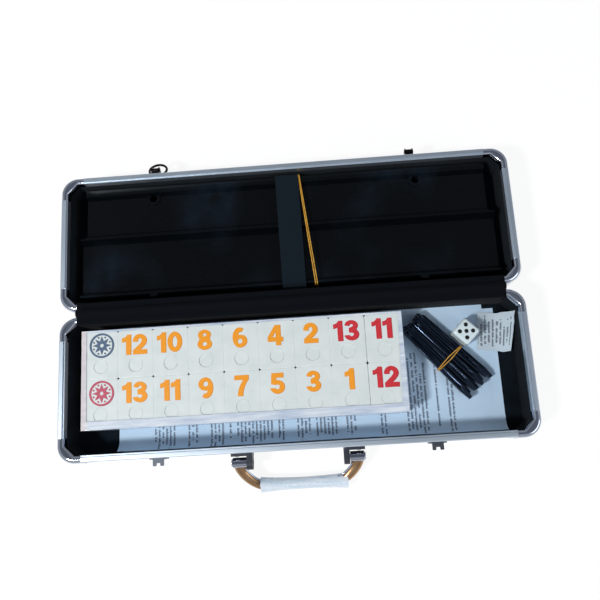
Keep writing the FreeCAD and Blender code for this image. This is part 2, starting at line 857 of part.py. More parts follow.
def rack_strap():
    """Elastic strap from the lid's front lining over the racks to its back lining."""
    under = rack_top_level() + rack_nest_gap + band + 0.15
    over = under + strap
    near_wall = hinge_offset + lining_inside + 0.1
    far_wall = front - lining_inside - 0.1
    low = half_height - cloth_recess - cloth_tail - strap_below_cloth
    section = face_from(
        upright,
        (far_wall, low), (far_wall, over - 1.6),
        ((far_wall - 0.47, over - 0.47), (far_wall - 1.6, over)),
        (rack_near + 0.4, over), (near_wall, low + 1.0), (near_wall, low),
        (near_wall + 0.9, low), (rack_near + 0.8, under), (far_wall - 1.6, under),
        ((far_wall - strap - 0.2, under - 0.2), (far_wall - strap, under - 0.7)),
        (far_wall - strap, low),
    )
    return moved(section.extrude(V(strap_width, 0, 0)), strap_place - strap_width / 2, 0, 0)


def hoop(length, height, width, skin, radius):
    """A flat band round a box of this length and height, centred, standing on its width."""
    def rounded(grow):
        a = length / 2 + grow
        b = height / 2 + grow
        r = radius + grow
        k = r * (1 - math.sqrt(0.5))
        return face_from(
            upright,
            (-a + r, -b), (a - r, -b), ((a - k, -b + k), (a, -b + r)), (a, b - r),
            ((a - k, b - k), (a - r, b)), (-a + r, b), ((-a + k, b - k), (-a, b - r)),
            (-a, -b + r), ((-a + k, -b + k), (-a + r, -b)),
        )
    loop = rounded(skin).extrude(V(width, 0, 0)).cut(rounded(0).extrude(V(width, 0, 0)))
    return moved(loop, -width / 2, 0, 0)


def rack_band():
    """Rubber band round all four racks, a little askew."""
    bottom = floor_top + band_play + band
    top = rack_top_level() + rack_nest_gap
    slant = math.degrees(math.atan2(band_near_place - band_far_place, rack_width))
    length = rack_width / math.cos(math.radians(slant)) + 2 * rack_nest_gap
    loop = turned(hoop(length, top - bottom, band_width, band, 1.2), V(0, 0, 0), V(0, 0, 1), slant)
    centre_x = (band_far_place + band_near_place) / 2
    return moved(loop, centre_x, rack_near + rack_width / 2, (top + bottom) / 2)


# Tiles and tray

tray_left = -half_length + lining_inside + tray_side_gap
tray_near = hinge_offset + lining_inside + tray_back_gap
column_pitch = tile_width + tile_play
row_pitch = tile_depth + tile_play
block_left = tray_left + tray_skin + tray_play
block_near = tray_near + tray_skin + tray_play
block_length = tile_columns * column_pitch - tile_play
block_depth = tile_rows * row_pitch - tile_play
tray_right = block_left + block_length + tray_play + tray_skin
tiles_bottom = contents_floor + tray_skin
tiles_top = tiles_bottom + tile_layers * tile_thick


def tile_tray():
    """Thin white tray, open at the top, with slightly rounded upright corners."""
    far = block_near + block_depth + tray_play + tray_skin
    outer = box(tray_left, tray_right, tray_near, far, contents_floor, tiles_top - tray_rim_below)
    uprights = [e for e in outer.Edges if abs(e.Vertexes[0].Z - e.Vertexes[1].Z) > 1]
    outer = outer.makeFillet(1.0, uprights)
    inner = box(tray_left + tray_skin, tray_right - tray_skin, tray_near + tray_skin, far - tray_skin,
                tiles_bottom, tiles_top + 1)
    return outer.cut(inner)


def tile_corner(column, row):
    return block_left + column * column_pitch, block_near + row * row_pitch


def plain_tile(column, row, layer):
    """A tile of the lower layers, its upright corners cut."""
    x, d = tile_corner(column, row)
    cut = tile_round * 0.8
    outline = face_from(
        flat,
        (x + cut, d), (x + tile_width - cut, d), (x + tile_width, d + cut),
        (x + tile_width, d + tile_depth - cut), (x + tile_width - cut, d + tile_depth),
        (x + cut, d + tile_depth), (x, d + tile_depth - cut), (x, d + cut),
    )
    return moved(outline.extrude(V(0, 0, tile_thick)), 0, 0, tiles_bottom + layer * tile_thick)


def tile_stack():
    """The layers under the top one. The bottom layer is short of the game's full count."""
    per_layer = tile_columns * tile_rows
    missing = tile_layers * per_layer - tiles_in_game
    tiles = []
    for layer in range(tile_layers - 1):
        for column in range(tile_columns):
            for row in range(tile_rows):
                if layer == 0 and column >= tile_columns - missing and row == 0:
                    continue
                tiles.append(plain_tile(column, row, layer))
    return tiles


def top_tile():
    """A tile with rounded corners, a softened face and a round dimple below its number."""
    block = box(0, tile_width, 0, tile_depth, 0, tile_thick)
    uprights = [e for e in block.Edges if abs(e.Vertexes[0].Z - e.Vertexes[1].Z) > 1]
    block = block.makeFillet(tile_round, uprights)
    rim = [e for e in block.Edges if abs(e.CenterOfMass.z - tile_thick) < 0.01]
    block = block.makeFillet(0.6, rim)
    spot = V(tile_width / 2, tile_depth - dimple_from_front, tile_thick - dimple_depth)
    return block.cut(rod(spot, V(0, 0, 1), dimple_radius, 1))


def top_tiles():
    tile = top_tile()
    level = tiles_bottom + (tile_layers - 1) * tile_thick
    return [moved(tile, *tile_corner(column, row), level)
            for row in range(tile_rows) for column in range(tile_columns)]


# Loose pieces in the base

def leaflet():
    """Folded rules leaflet, flat on the floor and turned up along the front wall."""
    low = floor_top + paper_gap
    near = hinge_offset + lining_inside + leaflet_back_gap
    far = front - lining_inside - paper_gap
    bend = far - leaflet_rise
    k = math.sqrt(0.5)
    inner = leaflet_rise - paper
    centre = low + leaflet_rise
    section = face_from(
        upright,
        (near, low), (bend, low),
        ((bend + leaflet_rise * k, centre - leaflet_rise * k), (far, centre)),
        (far - paper, centre),
        ((bend + inner * k, centre - inner * k), (bend, low + paper)),
        (near, low + paper),
    )
    return moved(section.extrude(V(leaflet_right - leaflet_left, 0, 0)), leaflet_left, 0, 0)


def pip_spots(count):
    """Places of the pips on a face, in steps of the pip spread."""
    corner = [(-1, -1), (1, 1)]
    other = [(-1, 1), (1, -1)]
    side = [(-1, 0), (1, 0)]
    layouts = {1: [(0, 0)], 2: corner, 3: corner + [(0, 0)], 4: corner + other,
               5: corner + other + [(0, 0)], 6: corner + other + side}
    return layouts[count]


def game_die():
    """A rounded die with its five up. Opposite faces add up to seven."""
    half = die_size / 2
    cube = Part.makeBox(die_size, die_size, die_size, V(-half, -half, -half))
    cube = cube.makeFillet(die_round, cube.Edges)
    faces = ((5, V(0, 0, 1), V(1, 0, 0)), (2, V(0, 0, -1), V(1, 0, 0)), (1, V(1, 0, 0), V(0, 1, 0)),
             (6, V(-1, 0, 0), V(0, 1, 0)), (3, V(0, 1, 0), V(0, 0, 1)), (4, V(0, -1, 0), V(0, 0, 1)))
    pips = []
    for count, out, side in faces:
        up = out.cross(side)
        for a, b in pip_spots(count):
            spot = out * (half - pip_depth) + side * (a * pip_spread) + up * (b * pip_spread)
            pips.append(rod(spot, out, pip_radius, 1))
    die = turned(cube.cut(pips), V(0, 0, 0), V(0, 0, 1), die_turn)
    return moved(die, die_x, die_d, contents_floor + half)


def rack_leg():
    """A rack's leg, along X: a channel with an eye at one end and a tapered foot at the other."""
    half = leg_width / 2
    taper = 9.0
    body = face_from(
        flat,
        (0, -half), (leg_length - taper, -half), (leg_length, -half * 0.55),
        (leg_length, half * 0.55), (leg_length - taper, half), (0, half), ((-half, 0), (0, -half)),
    ).extrude(V(0, 0, leg_height))
    channel = box(half + 2.0, leg_length - taper - 1, -half + leg_wall, half - leg_wall,
                  leg_wall, leg_height + 1)
    eye = rod(V(0, 0, -1), V(0, 0, 1), half - leg_wall - 0.3, leg_height + 2)
    return body.cut([channel, eye])


def leg_spread():
    """How far each outermost leg has spread outwards where the rubber band is."""
    reach = leg_length / 2 + leg_band_shift
    return reach * math.tan(math.radians(leg_fan * (leg_columns - 1) / 2))


def leg_bundle():
    """Eight legs in two layers, the upper ones in the gaps of the lower, fanned out from their eyes."""
    leg = rack_leg()
    pitch = leg_width + leg_gap
    stagger = (1.8, -0.9, 0.6, -1.6)
    legs = []
    for layer in range(2):
        for column in range(leg_columns):
            slide = stagger[column] * (1 if layer == 0 else -0.8)
            place = column - (leg_columns - 1) / 2
            side = place * pitch + (layer - 0.5) * pitch / 2
            lift = layer * (leg_height + leg_gap)
            fanned = turned(leg, V(0, 0, 0), V(0, 0, 1), leg_fan * place)
            legs.append(moved(fanned, -leg_length / 2 + slide, side, lift))
    return [in_bundle(piece) for piece in legs]


def in_bundle(shape):
    placed = turned(shape, V(0, 0, 0), V(0, 0, 1), bundle_turn)
    return moved(placed, bundle_x, bundle_d, contents_floor + band + 2 * band_play)


def leg_band():
    """Rubber band drawn tight round both layers, which lie half a leg apart."""
    pitch = leg_width + leg_gap
    half = ((leg_columns - 1) * pitch + leg_width) / 2 + leg_spread()
    shift = pitch / 4
    top = 2 * leg_height + leg_gap
    outline = face_from(
        upright,
        (-half - shift, 0), (half - shift, 0), (half + shift, leg_height + leg_gap), (half + shift, top),
        (-half + shift, top), (-half - shift, leg_height),
    )
    inner = outline.makeOffset2D(band_play)
    outer = outline.makeOffset2D(band_play + band)
    loop = outer.extrude(V(leg_band_width, 0, 0)).cut(inner.extrude(V(leg_band_width, 0, 0)))
    return in_bundle(moved(loop, leg_band_shift - leg_band_width / 2, 0, 0))


def sachet():
    """A small printed paper slip lying across the leaflet's edge."""
    slip = box(-sachet_width / 2, sachet_width / 2, -sachet_depth / 2, sachet_depth / 2, 0, sachet_thick)
    slip = turned(slip, V(0, 0, 0), V(0, 0, 1), sachet_turn)
    return moved(slip, sachet_x, sachet_d, contents_floor)


def save_half(name, base):
    """The boards, rails, posts and lining that both halves have."""
    post_holes = post_rivet_places()
    leaf_holes = leaf_rivet_places()
    front_holes = catch_rivet_places() if base else keeper_rivet_places()
    panel_name = "base_bottom_panel" if base else "lid_top_panel"
    save(panel_name, [bottom_panel()], base)
    for wall in WALLS:
        wall_board_solid = drilled(wall_board(wall), post_holes)
        if base and wall == "front":
            wall_board_solid = drilled(wall_board_solid, bracket_rivet_places())
        save(name + "_" + wall + "_board", [wall_board_solid], base)
        rail = rim_rail(wall, base)
        if wall == "back":
            rail = drilled(rail, leaf_holes)
        if wall == "front":
            rail = drilled(rail, front_holes)
        save(name + "_rim_" + wall, [rail], base)
    save(name + "_edge_rails", [edge_rail(wall) for wall in WALLS], base)
    posts = [drilled(post, post_holes).cut(cloth_pocket()) for post in four_corners(corner_post())]
    save(name + "_corner_posts", posts, base)
    save(name + "_lining", [lining()], base)
    save(name + "_hinge_cloth", [hinge_cloth()], base)
    places = post_holes + leaf_holes + front_holes
    if base:
        places = places + bracket_rivet_places()
    save(name + "_rivets", [rivet(*place) for place in places], base)


def both(shape):
    return [shape, across(shape)]


os.makedirs("parts", exist_ok=True)

save_half("base", True)
save_half("lid", False)

save("hinge_leaf_base", [hinge_leaf(0)], True)
save("hinge_leaf_lid", [hinge_leaf(1)], False)
save("hinge_pin", [hinge_pin()], True)

for side_name, other_side in (("left", False), ("right", True)):
    def on_side(shape):
        return across(shape) if other_side else shape
    save("handle_bracket_" + side_name, [on_side(handle_bracket())], True)
    save("handle_arm_" + side_name, [on_side(let_down(handle_arm()))], True)
    save("latch_keeper_" + side_name, [on_side(latch_keeper())], False)
    save("latch_lever_" + side_name, [on_side(latch_lever())], False)
save("handle_pins", both(handle_pin()), True)
save("handle_grip", [let_down(handle_grip())], True)
save("grip_film", [let_down(grip_film())], True)
save("catch_plates", both(catch_plate()), True)
save("latch_pins", both(latch_pin()), False)
save("key_ring", [key_ring()], False)

for number, rack in enumerate(rack_solids(), 1):
    save("tile_rack_" + str(number), [rack], False)
save("rack_strap", [rack_strap()], False)
save("rack_band", [rack_band()], False)

save("tile_tray", [tile_tray()], True)
save("tile_stack", tile_stack(), True)
save("top_tiles", top_tiles(), True)
save("rules_leaflet", [leaflet()], True)
save("game_die", [game_die()], True)
save("rack_legs", leg_bundle(), True)
save("leg_band", [leg_band()], True)
save("paper_slip", [sachet()], True)
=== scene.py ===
import math
import random

import bmesh
import bpy
from mathutils import Matrix, Vector, noise


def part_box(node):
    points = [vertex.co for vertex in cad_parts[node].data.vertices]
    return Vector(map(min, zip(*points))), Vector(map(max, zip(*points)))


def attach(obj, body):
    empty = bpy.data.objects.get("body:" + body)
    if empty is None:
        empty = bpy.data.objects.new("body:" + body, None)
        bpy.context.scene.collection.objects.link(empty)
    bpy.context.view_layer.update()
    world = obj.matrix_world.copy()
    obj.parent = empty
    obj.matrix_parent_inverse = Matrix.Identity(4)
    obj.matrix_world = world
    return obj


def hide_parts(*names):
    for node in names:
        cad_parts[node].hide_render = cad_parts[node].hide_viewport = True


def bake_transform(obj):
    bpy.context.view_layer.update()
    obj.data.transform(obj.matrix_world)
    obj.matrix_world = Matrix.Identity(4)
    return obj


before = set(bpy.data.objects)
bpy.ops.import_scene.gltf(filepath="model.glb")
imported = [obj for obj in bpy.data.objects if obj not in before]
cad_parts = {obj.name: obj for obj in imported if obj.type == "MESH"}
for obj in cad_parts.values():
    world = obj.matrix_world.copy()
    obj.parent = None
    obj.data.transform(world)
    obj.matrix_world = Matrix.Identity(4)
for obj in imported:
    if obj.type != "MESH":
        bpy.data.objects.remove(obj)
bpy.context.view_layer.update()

MM = 0.001

# Hinge axis of the case, which the two halves' back walls stand 2.9 mm from
AXIS_Y = 56.4 * MM
AXIS_Z = 34.15 * MM


# Small helpers for materials and modelling

def linear(colour):
    """An sRGB hex colour as linear red, green, blue and alpha."""
    channels = [int(colour[i:i + 2], 16) / 255 for i in (1, 3, 5)]
    return [c / 12.92 if c <= 0.04045 else ((c + 0.055) / 1.055) ** 2.4 for c in channels] + [1.0]


def add_node(tree, kind, inputs=None, **settings):
    """Adds a shader node, gives it its settings, and links or sets its inputs."""
    made = tree.nodes.new("ShaderNode" + kind)
    for key, value in settings.items():
        setattr(made, key, value)
    for socket, value in (inputs or {}).items():
        if isinstance(value, bpy.types.NodeSocket):
            tree.links.new(value, made.inputs[socket])
        else:
            made.inputs[socket].default_value = value
    return made


def new_finish(name, colour, roughness, **sockets):
    """A material with one Principled shader and its plain values. Returns it, its tree and its shader."""
    made = bpy.data.materials.new(name)
    made.use_nodes = True
    tree = made.node_tree
    shader = tree.nodes["Principled BSDF"]
    shader.inputs["Base Color"].default_value = linear(colour)
    shader.inputs["Roughness"].default_value = roughness
    for socket, value in sockets.items():
        shader.inputs[socket.replace("_", " ")].default_value = value
    return made, tree, shader


def grain(tree, size_mm, detail=2.0, stretch=(1, 1, 1), shift=(0, 0, 0)):
    """Noise on Object coordinates whose blobs are size_mm across, drawn out by stretch."""
    where = add_node(tree, "TexCoord").outputs["Object"]
    scale = [1 / (size_mm * MM * s) for s in stretch]
    mapped = add_node(tree, "Mapping", {"Vector": where, "Scale": scale, "Location": shift})
    return add_node(tree, "TexNoise", {"Vector": mapped.outputs[0], "Scale": 1.0, "Detail": detail}).outputs[0]


def spread(tree, value, low, high, start=0.3, end=0.7):
    """Maps a noise value to a range."""
    return add_node(tree, "MapRange", {"Value": value, "From Min": start, "From Max": end,
                                       "To Min": low, "To Max": high}).outputs[0]


def two_colours(tree, factor, first, second):
    mixed = add_node(tree, "Mix", {0: factor, 6: linear(first), 7: linear(second)}, data_type="RGBA")
    return mixed.outputs[2]


def relief(tree, shader, height, depth_mm, strength=1.0, before=None):
    """Bump of a real depth. Returns its normal, so that a second one can build on it."""
    inputs = {"Height": height, "Distance": depth_mm * MM, "Strength": strength}
    if before is not None:
        inputs["Normal"] = before
    bump = add_node(tree, "Bump", inputs)
    tree.links.new(bump.outputs[0], shader.inputs["Normal"])
    return bump.outputs[0]


def join_socket(tree, output, shader, name):
    tree.links.new(output, shader.inputs[name])


# Finishes

def satin_aluminium(name, stretch):
    """Anodised aluminium extrusion: a soft cool sheen with fine lines along the drawing direction."""
    made, tree, shader = new_finish(name, "#DCE6F0", 0.42, Metallic=1.0)
    lines = grain(tree, 0.35, 2.0, stretch)
    join_socket(tree, spread(tree, lines, 0.4, 0.48), shader, "Roughness")
    cloud = grain(tree, 40, 2.0)
    join_socket(tree, two_colours(tree, spread(tree, cloud, 0, 1), "#C5D2DE", "#CFDBE6"), shader, "Base Color")
    relief(tree, shader, lines, 0.01, 0.12)
    return made


def corner_chrome():
    """Chromed pressed steel: a hard mirror with a slight orange peel and faint finger smears."""
    made, tree, shader = new_finish("corner_chrome", "#B6BDCA", 0.07, Metallic=1.0)
    join_socket(tree, spread(tree, grain(tree, 9, 3.0), 0.04, 0.15), shader, "Roughness")
    relief(tree, shader, grain(tree, 2.6), 0.035, 0.5)
    return made


def bright_rivet():
    """Aluminium rivet heads, burnished by the setting tool."""
    made, tree, shader = new_finish("rivet_aluminium", "#D4D6DA", 0.24, Metallic=1.0)
    relief(tree, shader, grain(tree, 0.5), 0.02, 0.4)
    return made


def plated_steel(name, colour, low, high):
    """Nickel-plated stamped steel: a warm grey mirror, duller where it was pressed."""
    made, tree, shader = new_finish(name, colour, low, Metallic=1.0)
    join_socket(tree, spread(tree, grain(tree, 3, 3.0), low, high), shader, "Roughness")
    relief(tree, shader, grain(tree, 0.7), 0.015, 0.4)
    return made


def wall_laminate():
    """Silver ABS laminate on board, embossed with a fine pebble so that scratches don't show."""
    made, tree, shader = new_finish("silver_abs_laminate", "#A9AFB6", 0.4, Metallic=0.55)
    where = add_node(tree, "TexCoord").outputs["Object"]
    pebble = add_node(tree, "TexVoronoi", {"Vector": where, "Scale": 1 / (1.1 * MM)}, feature="SMOOTH_F1")
    cloud = grain(tree, 25, 3.0)
    join_socket(tree, two_colours(tree, spread(tree, cloud, 0, 1), "#A3A9B0", "#B1B7BE"), shader, "Base Color")
    join_socket(tree, spread(tree, grain(tree, 5, 3.0), 0.34, 0.48), shader, "Roughness")
    relief(tree, shader, pebble.outputs["Distance"], 0.09, 0.6)
    return made


def lining_flock():
    """Black flocked cloth glued on board: deep black, a faint cool bloom where the pile is brushed."""
    made, tree, shader = new_finish("black_flocked_cloth", "#0A0E12", 0.95, Sheen_Weight=0.03, Sheen_Roughness=0.5)
    shader.inputs["Specular IOR Level"].default_value = 0.04
    brushed = add_node(tree, "Mix", {0: spread(tree, grain(tree, 22, 4.0), 0, 1),
                                     6: linear("#0E1419"), 7: linear("#182129")}, data_type="RGBA").outputs[2]
    join_socket(tree, brushed, shader, "Base Color")
    relief(tree, shader, grain(tree, 0.45, 3.0), 0.12, 0.7)
    return made


def woven_black(name, colour, second, thread_mm, sheen):
    """Black woven band: threads run over and under each other. The threads follow the cloth's own UV."""
    made, tree, shader = new_finish(name, colour, 0.85, Sheen_Weight=sheen, Sheen_Roughness=0.4)
    shader.inputs["Specular IOR Level"].default_value = 0.06
    where = add_node(tree, "TexCoord").outputs["UV"]
    across = add_node(tree, "TexWave", {"Vector": where, "Scale": 1 / (thread_mm * MM) / 6.283 * 3.14159},
                      bands_direction="X")
    along = add_node(tree, "TexWave", {"Vector": where, "Scale": 1 / (thread_mm * MM) / 6.283 * 3.14159},
                     bands_direction="Y")
    weave = add_node(tree, "Math", {0: across.outputs[1], 1: along.outputs[1]}, operation="MULTIPLY").outputs[0]
    join_socket(tree, two_colours(tree, weave, colour, second), shader, "Base Color")
    relief(tree, shader, weave, 0.12, 0.6)
    return made


def black_plastic(name, colour, gloss):
    """Glossy black polystyrene: nearly a mirror, with hairline scuffs, a little dust and patches of painted
    reflection.
    """
    made, tree, shader = new_finish(name, colour, 0.16)
    shader.inputs["Specular IOR Level"].default_value = gloss
    scuff = grain(tree, 0.5, 3.0, (24, 1, 1))
    join_socket(tree, spread(tree, scuff, 0.1, 0.3, 0.35, 0.75), shader, "Roughness")
    # painted reflection: broad faint bluish-grey patches on the black, standing in for what the glossy racks mirror
    painted_reflection_patch = add_node(tree, "Math", {0: spread(tree, grain(tree, 55, 1.0), 0, 0.45, 0.5, 0.72),
                                    1: spread(tree, grain(tree, 13, 3.0), 0.25, 1)}, operation="MULTIPLY")
    black_with_painted_reflection = two_colours(tree, painted_reflection_patch.outputs[0], colour, "#1C2734")
    dust = spread(tree, grain(tree, 0.6, 2.0), 0, 1, 0.7, 0.76)
    dusty = add_node(tree, "Mix", {0: dust, 6: black_with_painted_reflection, 7: linear("#2A3339")}, data_type="RGBA").outputs[2]
    join_socket(tree, dusty, shader, "Base Color")
    relief(tree, shader, grain(tree, 14, 2.0), 0.06, 0.3)
    return made


def leg_plastic(turn, ridge_mm):
    """The same plastic, moulded with fine ridges along the legs, whose crests catch a bluish light."""
    made, tree, shader = new_finish("black_polystyrene_leg", "#04070C", 0.15, Specular_Tint=linear("#B4D2FF"))
    shader.inputs["Specular IOR Level"].default_value = 0.85
    where = add_node(tree, "TexCoord").outputs["Object"]
    sideways = add_node(tree, "VectorMath", {0: where, 1: (math.sin(turn), -math.cos(turn), 0)},
                        operation="DOT_PRODUCT").outputs["Value"]
    turns = add_node(tree, "Math", {0: sideways, 1: 2 * math.pi / (ridge_mm * MM)}, operation="MULTIPLY").outputs[0]
    ridges = add_node(tree, "Math", {0: turns}, operation="SINE").outputs[0]
    join_socket(tree, spread(tree, grain(tree, 4, 3.0), 0.1, 0.24), shader, "Roughness")
    first = relief(tree, shader, ridges, 0.16, 0.8)
    relief(tree, shader, grain(tree, 7, 2.0), 0.1, 0.4, before=first)
    return made


def tile_melamine():
    """Ivory urea plastic of the tiles: soft gloss, a warm cream with faint cloudiness."""
    made, tree, shader = new_finish("ivory_urea", "#DAE1DF", 0.3, Coat_Weight=0.15, Coat_Roughness=0.15)
    cloud = spread(tree, grain(tree, 12, 3.0), 0, 1)
    join_socket(tree, two_colours(tree, cloud, "#D6DEDC", "#DEE5E3"), shader, "Base Color")
    join_socket(tree, spread(tree, grain(tree, 6, 3.0), 0.26, 0.4), shader, "Roughness")
    relief(tree, shader, grain(tree, 1.4), 0.02, 0.35)
    return made


def printing_ink(name, colour, second):
    """Enamel filled into the tile's engraved number: saturated, slightly uneven, with a low gloss."""
    made, tree, shader = new_finish(name, colour, 0.38)
    join_socket(tree, two_colours(tree, spread(tree, grain(tree, 1.6, 3.0), 0, 1), colour, second),
                shader, "Base Color")
    relief(tree, shader, grain(tree, 0.8), 0.03, 0.4)
    return made


def die_plastic():
    """Polished white acrylic of the die, with worn and slightly duller edges."""
    made, tree, shader = new_finish("white_acrylic", "#D5E4E8", 0.16, Coat_Weight=0.3, Coat_Roughness=0.08)
    join_socket(tree, spread(tree, grain(tree, 3, 3.0), 0.12, 0.26), shader, "Roughness")
    relief(tree, shader, grain(tree, 2.0), 0.015, 0.3)
    return made


def tray_plastic():
    """Thin milky vacuum-formed plastic of the tile tray."""
    made, tree, shader = new_finish("milky_pvc", "#D6DFEC", 0.35)
    cloud = spread(tree, grain(tree, 9, 3.0), 0, 1)
    join_socket(tree, two_colours(tree, cloud, "#CAD5E6", "#E0E8F2"), shader, "Base Color")
    relief(tree, shader, grain(tree, 4, 3.0), 0.15, 0.5)
    return made


def shrink_film():
    """Shrink film folded over the tray's rim: whitish, creased and shiny, with painted shade streaked along its folds
    and a painted reddish light at its left end.
    """
    made, tree, shader = new_finish("white_shrink_film", "#D4DEE8", 0.2, Coat_Weight=0.4, Coat_Roughness=0.1)
    # painted shade: darker blue-grey streaks along the folds
    painted_fold_shade = spread(tree, grain(tree, 2.6, 4.0, (9, 1, 1)), 0, 1)
    white = two_colours(tree, painted_fold_shade, "#B4C2D6", "#E2E9EF")
    # painted light: at its left end a reddish tint in the film's colour, as if light shone through from the tray's
    # other side
    where = add_node(tree, "TexCoord").outputs["Object"]
    x = add_node(tree, "SeparateXYZ", {0: where}).outputs[0]
    left = spread(tree, x, 0.75, 0.0, -156 * MM, -151 * MM)
    film_with_painted_light = add_node(tree, "Mix", {0: left, 6: white, 7: linear("#DDD0CE")}, data_type="RGBA").outputs[2]
    join_socket(tree, film_with_painted_light, shader, "Base Color")
    relief(tree, shader, grain(tree, 2.4, 4.0, (2, 1, 1)), 0.3, 0.7)
    return made


def crinkled_film():
    """Clear polythene wound on the grip: milky where it is creased, with sharp small highlights."""
    made, tree, shader = new_finish("clear_polythene", "#DDE8F0", 0.16, Transmission_Weight=0.15,
                                    IOR=1.5, Coat_Weight=0.25, Coat_Roughness=0.15)
    crease = grain(tree, 2.4, 2.0, (9, 1, 1))
    join_socket(tree, two_colours(tree, spread(tree, crease, 0, 1), "#D0E2F0", "#F0F6FC"), shader, "Base Color")
    join_socket(tree, spread(tree, grain(tree, 3.5, 3.0), 0.1, 0.32), shader, "Roughness")
    relief(tree, shader, crease, 0.12, 0.28)
    return made


def grip_plastic():
    """Silver-painted ABS grip under the film."""
    made, tree, shader = new_finish("silver_painted_abs", "#B9BEC4", 0.35, Metallic=0.3)
    join_socket(tree, spread(tree, grain(tree, 4, 3.0), 0.28, 0.42), shader, "Roughness")
    relief(tree, shader, grain(tree, 0.6), 0.015, 0.4)
    return made


def rubber(name, colour, second):
    """Natural rubber band: a dull amber, darker where it is stretched thin."""
    made, tree, shader = new_finish(name, colour, 0.5, Subsurface_Weight=0.1, Subsurface_Scale=0.001)
    join_socket(tree, two_colours(tree, spread(tree, grain(tree, 5, 3.0), 0, 1), colour, second),
                shader, "Base Color")
    relief(tree, shader, grain(tree, 0.5), 0.03, 0.5)
    return made


def handle_metal(pivot_y, pivot_z, barrel_mm):
    """Chromed barrels, and arms coloured bronze-brown beyond them."""
    made, tree, shader = new_finish("chrome_bronze_brown_arms", "#A68562", 0.16, Metallic=1.0)
    where = add_node(tree, "TexCoord").outputs["Object"]
    offset = add_node(tree, "VectorMath", {0: where, 1: (0, pivot_y, pivot_z)}, operation="SUBTRACT").outputs[0]
    flat = add_node(tree, "VectorMath", {0: offset, 1: (0, 1, 1)}, operation="MULTIPLY").outputs[0]
    reach = add_node(tree, "VectorMath", {0: flat}, operation="LENGTH").outputs["Value"]
    beyond = spread(tree, reach, 0, 1, (barrel_mm - 0.05) * MM, (barrel_mm + 0.1) * MM)
    cloud = two_colours(tree, spread(tree, grain(tree, 6, 2.0), 0, 1), "#9F7D5B", "#AE8E6E")
    mixed = add_node(tree, "Mix", {0: beyond, 6: linear("#A7ABB6"), 7: cloud}, data_type="RGBA").outputs[2]
    join_socket(tree, mixed, shader, "Base Color")
    join_socket(tree, spread(tree, beyond, 0.07, 0.3, 0, 1), shader, "Roughness")
    return made


def dark_bracket():
    """Die-cast bracket in dark grey stoving paint: a fine satin grit."""
    made, tree, shader = new_finish("dark_stoving_paint", "#2B2B36", 0.42)
    join_socket(tree, two_colours(tree, spread(tree, grain(tree, 3, 3.0), 0, 1), "#20222D", "#2C2F3B"),
                shader, "Base Color")
    relief(tree, shader, grain(tree, 0.4), 0.02, 0.5)
    return made


def printed_paper(name, paper, second, ink, coordinates, pitch_mm, start_mm, end_mm, first_mm,
                  edge_mm, sparse, block_mm=(0, 0)):
    """Uncoated paper with lines of grey strokes where the small print would be.

    The lines run along the second coordinate, ragged at both ends, and follow each other along the
    first one from first_mm to edge_mm. The sparser they are, the more of them are left out, in groups,
    but none is left out within block_mm."""
    made, tree, shader = new_finish(name, paper, 0.8, Sheen_Weight=0.05)
    shader.inputs["Specular IOR Level"].default_value = 0.25

    def calculate(operation, first, second_value):
        return add_node(tree, "Math", {0: first, 1: second_value}, operation=operation).outputs[0]

    where = add_node(tree, "TexCoord").outputs[coordinates]
    parts = add_node(tree, "SeparateXYZ", {0: where})
    steps = calculate("DIVIDE", parts.outputs[0], pitch_mm * MM)
    line = calculate("FLOOR", steps, 0.0)
    along = parts.outputs[1]
    luck = add_node(tree, "TexWhiteNoise", {"W": line}, noise_dimensions="1D").outputs[0]
    more_luck = add_node(tree, "TexWhiteNoise", {"W": calculate("ADD", line, 7.31)},
                         noise_dimensions="1D").outputs[0]
    run = end_mm - start_mm
    start = spread(tree, luck, start_mm * MM, (start_mm + 0.09 * run) * MM, 0, 1)
    end = spread(tree, more_luck, (end_mm - 0.45 * run) * MM, end_mm * MM, 0, 1)
    kept = calculate("GREATER_THAN", calculate("FRACT", calculate("MULTIPLY", luck, 9.7), 0.0), 0.3 * sparse)
    group = add_node(tree, "TexNoise", {"W": calculate("MULTIPLY", line, 0.21), "Scale": 1.0, "Detail": 0.0},
                     noise_dimensions="1D").outputs[0]
    block = calculate("MULTIPLY", calculate("GREATER_THAN", parts.outputs[0], block_mm[0] * MM),
                      calculate("LESS_THAN", parts.outputs[0], block_mm[1] * MM))
    chosen = calculate("MAXIMUM", calculate("MULTIPLY", kept, calculate("GREATER_THAN", group, 0.42 * sparse)), block)
    # words with gaps between them, and letters that fray the strokes' sides
    spot = add_node(tree, "CombineXYZ", {0: line, 1: along}).outputs[0]
    word = add_node(tree, "Mapping", {"Vector": spot, "Scale": (3.7, 420, 1)}).outputs[0]
    words = add_node(tree, "TexNoise", {"Vector": word, "Scale": 1.0, "Detail": 1.0}).outputs[0]
    letter = add_node(tree, "Mapping", {"Vector": spot, "Scale": (5.3, 1500, 1)}).outputs[0]
    letters = add_node(tree, "TexNoise", {"Vector": letter, "Scale": 1.0, "Detail": 1.0}).outputs[0]
    mark = calculate("LESS_THAN", calculate("FRACT", steps, 0.0), spread(tree, letters, 0.3, 0.66, 0.35, 0.65))
    for part in (calculate("GREATER_THAN", along, start), calculate("LESS_THAN", along, end), chosen,
                 calculate("GREATER_THAN", words, 0.41),
                 calculate("GREATER_THAN", parts.outputs[0], first_mm * MM),
                 calculate("LESS_THAN", parts.outputs[0], edge_mm * MM)):
        mark = calculate("MULTIPLY", mark, part)
    sheet = two_colours(tree, spread(tree, grain(tree, 30, 3.0), 0, 1), paper, second)
    shown = add_node(tree, "Mix", {0: calculate("MULTIPLY", mark, 0.72), 6: sheet, 7: linear(ink)},
                     data_type="RGBA").outputs[2]
    join_socket(tree, shown, shader, "Base Color")
    relief(tree, shader, grain(tree, 0.5, 3.0), 0.03, 0.4)
    return made


